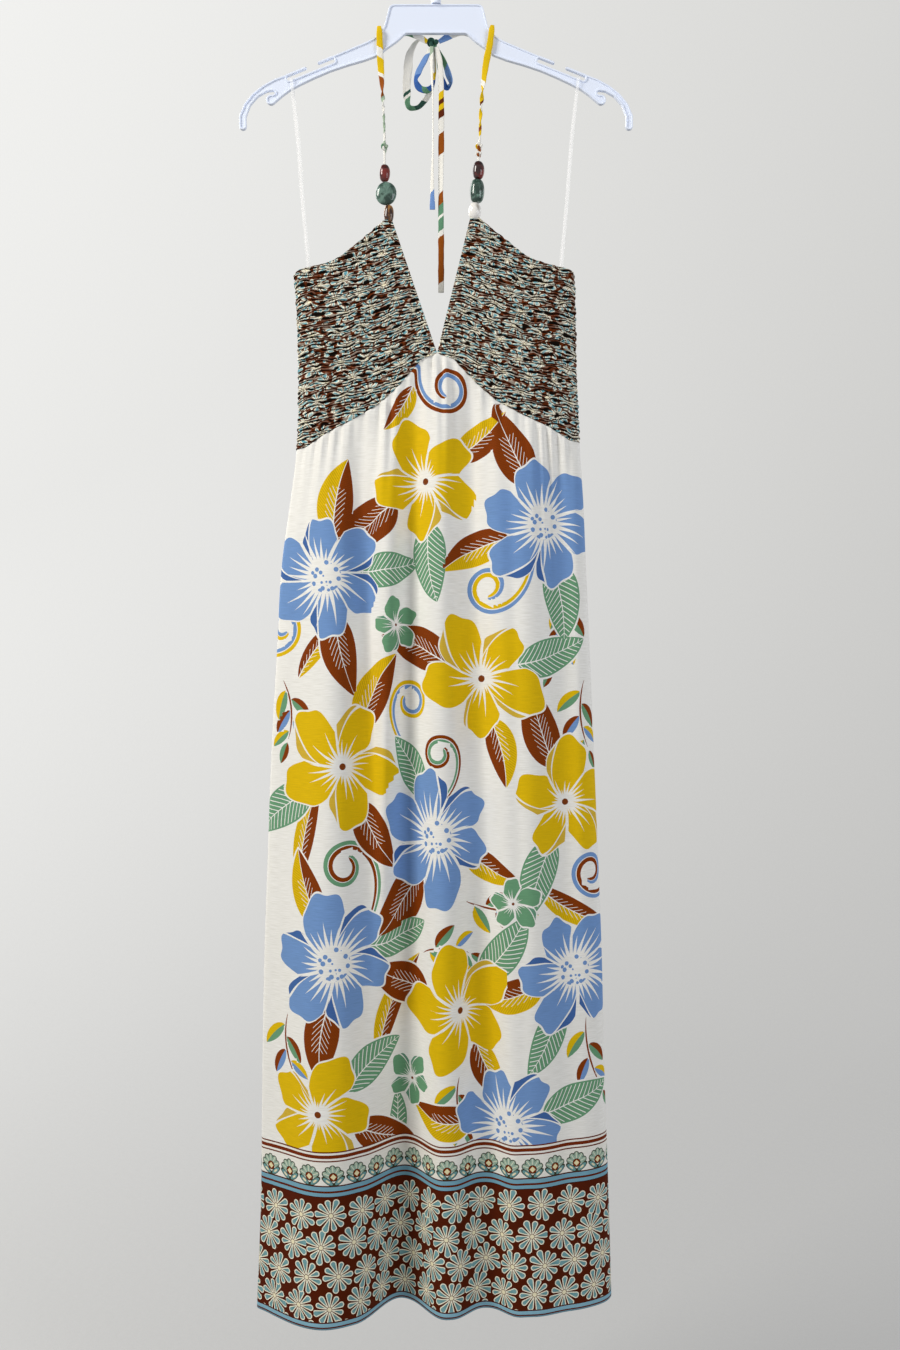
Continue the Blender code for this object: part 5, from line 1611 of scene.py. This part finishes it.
def skirt_grid(face):
    """Points of a skirt panel from the seam down, and its cloth coordinates: the length along the folded
    row from its middle, and the height above the hem. Gathers, folds and creases fade out at the sides,
    and the turned hem stands out by one more thickness of cloth."""
    even = np.linspace(-1, 1, SKIRT_COLUMNS[face])[None]
    share = 0.55 * np.sin(even * math.pi / 2) + 0.45 * even
    seam = seam_drop(share) if face == "front" else seam_drop(1.0) - SEAM_SKEW * (share - 1)
    top = -seam - SEAM_GAP / 2
    z = top + (-HEM_DROP - top) * SKIRT_ROWS[:, None]
    below = top - z
    x = across(share, z)
    sides = np.clip((1 - np.abs(share)) / SIDE_REACH, 0, 1)
    out = gathers(face, share, below) + folds(face, x, z) * (1 - np.exp(-below / (45 * MM)))
    out += creases(x, z, below, CREASE_SEEDS[face]) * (1 - np.exp(-below / (12 * MM)))
    above = z + HEM_DROP
    out += CLOTH_THICKNESS * (1 - smooth_step(above, HEM_HEIGHT - HEM_STEP, HEM_HEIGHT))
    y = depth(face, share, z) + (-1 if face == "front" else 1) * out * sides * (2 - sides)
    points = own_side(np.stack([x, y, z], axis=-1), face)
    steps = np.hypot(np.diff(points[..., 0], axis=1), np.diff(points[..., 1], axis=1))
    along = np.concatenate([np.zeros((len(z), 1)), np.cumsum(steps, axis=1)], axis=1)
    along -= along[:, along.shape[1] // 2][:, None]
    cloth = np.stack([along, above], axis=-1)
    return points, cloth, np.zeros(z.shape), cloth


for face, inward, flat, area in (("front", -1, (0.47, 1.04), 0.44), ("back", 1, (0.45, 0.95), 0.37)):
    mesh = cloth_mesh(f"skirt_{face}_cloth", [skirt_grid(face)], inward)
    print_motifs(mesh, *MOTIFS[face])
    panel = thicken(make_piece(mesh, printed_cloth, "printed_viscose", f"skirt_{face}"))

# ---------------------------------------------------------------------------------------------------
# Hanger. Clear-tinted polypropylene, moulded in one shot: a thin web inside a raised rim, with strap slots,
# hooked tips and small scrolls under the arms. The hook is a round rod that springs from the plate.
# ---------------------------------------------------------------------------------------------------
WEB = 2.4 * MM
RIM_WIDE = 2.2 * MM
RIM_DEEP = 4.9 * MM
RIM_SIDES = 14
RIM_SQUARENESS = 0.6
OUTLINE_STEP = 0.8
CORNER_ROUNDING = 0.9
PLATE_TOP = 61.5
HOOK_RADIUS = 22 * MM
HOOK_WIRE = 6 * MM
HOOK_SIDES = 24
# The hook's stem from the boss on the plate up: distance out and height above its foot in mm, and width as
# a share of the rod's. Then the widths that round off the rod's end.
STEM_ROWS = ((0, 0, 1.8), (0, 5, 1.8), (0, 6, 1.05), (0.4, 10.2, 1), (3, 15.2, 1), (9, 20.2, 1))
TIP_SHARES = (0.98, 0.9, 0.7, 0.35)


def arc(x, drop, radius, start, end, steps):
    """Points of an arc in mm, by angles in degrees from +X towards up."""
    turns = np.radians(np.linspace(start, end, steps + 1))
    return list(zip(x + radius * np.cos(turns), drop - radius * np.sin(turns)))


def hanger_half():
    """Right half of the hanger's outline, from the top centre round the arm to the bottom centre, as
    distance out and drop in mm: the plate, the strap slot, the hooked tip, its scroll and the arm."""
    plate = [(0, PLATE_TOP), *arc(46, 68, 6.5, 90, 20, 8), (57, 85)]
    shoulder = [(60.5, 91), (66, 97), (75, 102.3), (110, 117)]
    slot_start, slot_end = np.array((114.0, 118.7)), np.array((165.0, 139.2))
    slope = (slot_end - slot_start) / np.linalg.norm(slot_end - slot_start)
    inward = np.array((-slope[1], slope[0]))
    lip, floor, inner_lip, outer_lip = 1.8, 7.2, 18, 24
    slot = [
        slot_start,
        slot_start + slope * inner_lip,
        slot_start + slope * inner_lip + inward * lip,
        slot_start + inward * lip,
        slot_start - slope * 1.0 + inward * (lip + floor) / 2,
        slot_start + inward * floor,
        slot_end + inward * floor,
        slot_end + slope * 1.0 + inward * (lip + floor) / 2,
        slot_end + inward * lip,
        slot_end - slope * outer_lip + inward * lip,
        slot_end - slope * outer_lip,
        slot_end,
    ]
    tip = [(178, 144), (191, 151.2), (202, 160), (211, 171), (216.5, 184)]
    tip += arc(212.4, 195.5, 4.2, 10, -170, 10)
    tip += [(208.5, 185), (203.8, 172.5), (195.5, 163), (186, 157.6), (179, 156.6)]
    scroll = [(176.4, 158.4), (178, 160.4), *arc(181.5, 166.5, 5.5, 110, -120, 14)]
    arm = [(168, 162), (160, 156.2), (148.5, 150), (132, 142.2), (115.5, 135.2), (97, 129)]
    arm += [(78, 123.5), (62, 117.5), (54, 110.5), (43, 102.8), *arc(31, 100.4, 6.5, 60, 90, 4)]
    return np.array([*plate, *shoulder, *slot, *tip, *scroll, *arm, (0, 93.9)])


def evened(outline, spacing, rounding):
    """A closed outline with points an even spacing apart and its corners rounded, by a bell-shaped mean
    of its neighbours."""
    closed = np.vstack([outline, outline[:1]])
    chord = travelled(closed)
    at = np.linspace(0, chord[-1], int(chord[-1] / spacing), endpoint=False)
    even = np.stack([np.interp(at, chord, closed[:, axis]) for axis in (0, 1)], axis=-1)
    reach = np.arange(-6, 7)
    bell = np.exp(-((reach * spacing / rounding) ** 2))
    return sum(np.roll(even, -step, axis=0) * share for step, share in zip(reach, bell / bell.sum()))


# The raised rim: a rounded square profile carried round the outline.
half = hanger_half()
outline = np.vstack([half, (half[1:-1] * (-1, 1))[::-1]])
outline = evened(outline, OUTLINE_STEP, CORNER_ROUNDING) * (MM, -MM)
ahead = np.roll(outline, -1, axis=0) - np.roll(outline, 1, axis=0)
inward = np.stack([ahead[:, 1], -ahead[:, 0]], axis=-1)
inward /= np.linalg.norm(inward, axis=1, keepdims=True)
flat_line = outline + inward * RIM_WIDE / 2
wide, deep = profile(RIM_SIDES, RIM_SQUARENESS, RIM_SQUARENESS)
rim_x, rim_z = (flat_line[:, None] + inward[:, None] * (wide * RIM_WIDE / 2)[:, None]).T
rim = np.stack([rim_x.T, deep * RIM_DEEP / 2 + 0 * rim_x.T, rim_z.T], axis=-1)

# The web: the same line filled flat, WEB thick, and joined to the rim as one moulding.
curve = bpy.data.curves.new("hanger_web", "CURVE")
curve.dimensions = "2D"
curve.fill_mode = "BOTH"
curve.extrude = WEB / 2
spline = curve.splines.new("POLY")
spline.points.add(len(flat_line) - 1)
spline.points.foreach_set("co", np.pad(flat_line, ((0, 0), (0, 2))).astype(np.float32).reshape(-1))
spline.use_cyclic_u = True
web = bpy.data.objects.new("hanger_web", curve)
shell = bmesh.new()
shell.from_mesh(web.to_mesh())
web.to_mesh_clear()
bpy.data.objects.remove(web)
bmesh.ops.rotate(shell, verts=shell.verts, matrix=Matrix.Rotation(math.radians(90), 3, "X"))
bmesh.ops.remove_doubles(shell, verts=shell.verts, dist=1e-6)
bmesh.ops.recalc_face_normals(shell, faces=shell.faces)
mesh = ring_mesh("hanger_moulding", rim, closed=True)
shell.from_mesh(mesh)
shell.to_mesh(mesh)
shell.free()
mesh.shade_smooth()
mesh.set_sharp_from_angle(angle=math.radians(40))

# Injection-moulded polypropylene with a cool tint: smooth and satin, with broad soft highlights.
polypropylene, _, plastic_shader = new_material("moulded_polypropylene", Roughness=0.3, IOR=1.49)
plastic_shader.inputs["Base Color"].default_value = linear("E6EEFF")
make_piece(mesh, polypropylene, "pale_polypropylene", "hanger")

# The hook: a round rod up from its boss on the plate and round the rail, for two thirds of a turn.
centre_drop = HOOK_RADIUS - HOOK_WIRE / 2
turns = np.radians(np.linspace(-42, 205, 72))
bend = (HOOK_RADIUS * np.cos(turns), 0 * turns, HOOK_RADIUS * np.sin(turns) - centre_drop)
stem_x, stem_height, stem_width = np.array(STEM_ROWS).T
stem_z = (stem_height - PLATE_TOP) * MM + SEAM_GAP
route = np.concatenate([(stem_x * MM, 0 * stem_x, stem_z), bend], axis=1).T
thick = np.concatenate([stem_width, np.ones(len(turns))]) * HOOK_WIRE
thick[-len(TIP_SHARES) :] *= TIP_SHARES
points = carried(route, thick, thick, thick * 0, HOOK_SIDES, flatness=1.0)
mesh = ring_mesh("hanger_hook_rod", points, caps=True)
make_piece(mesh, polypropylene, "pale_polypropylene", "hanger_hook")
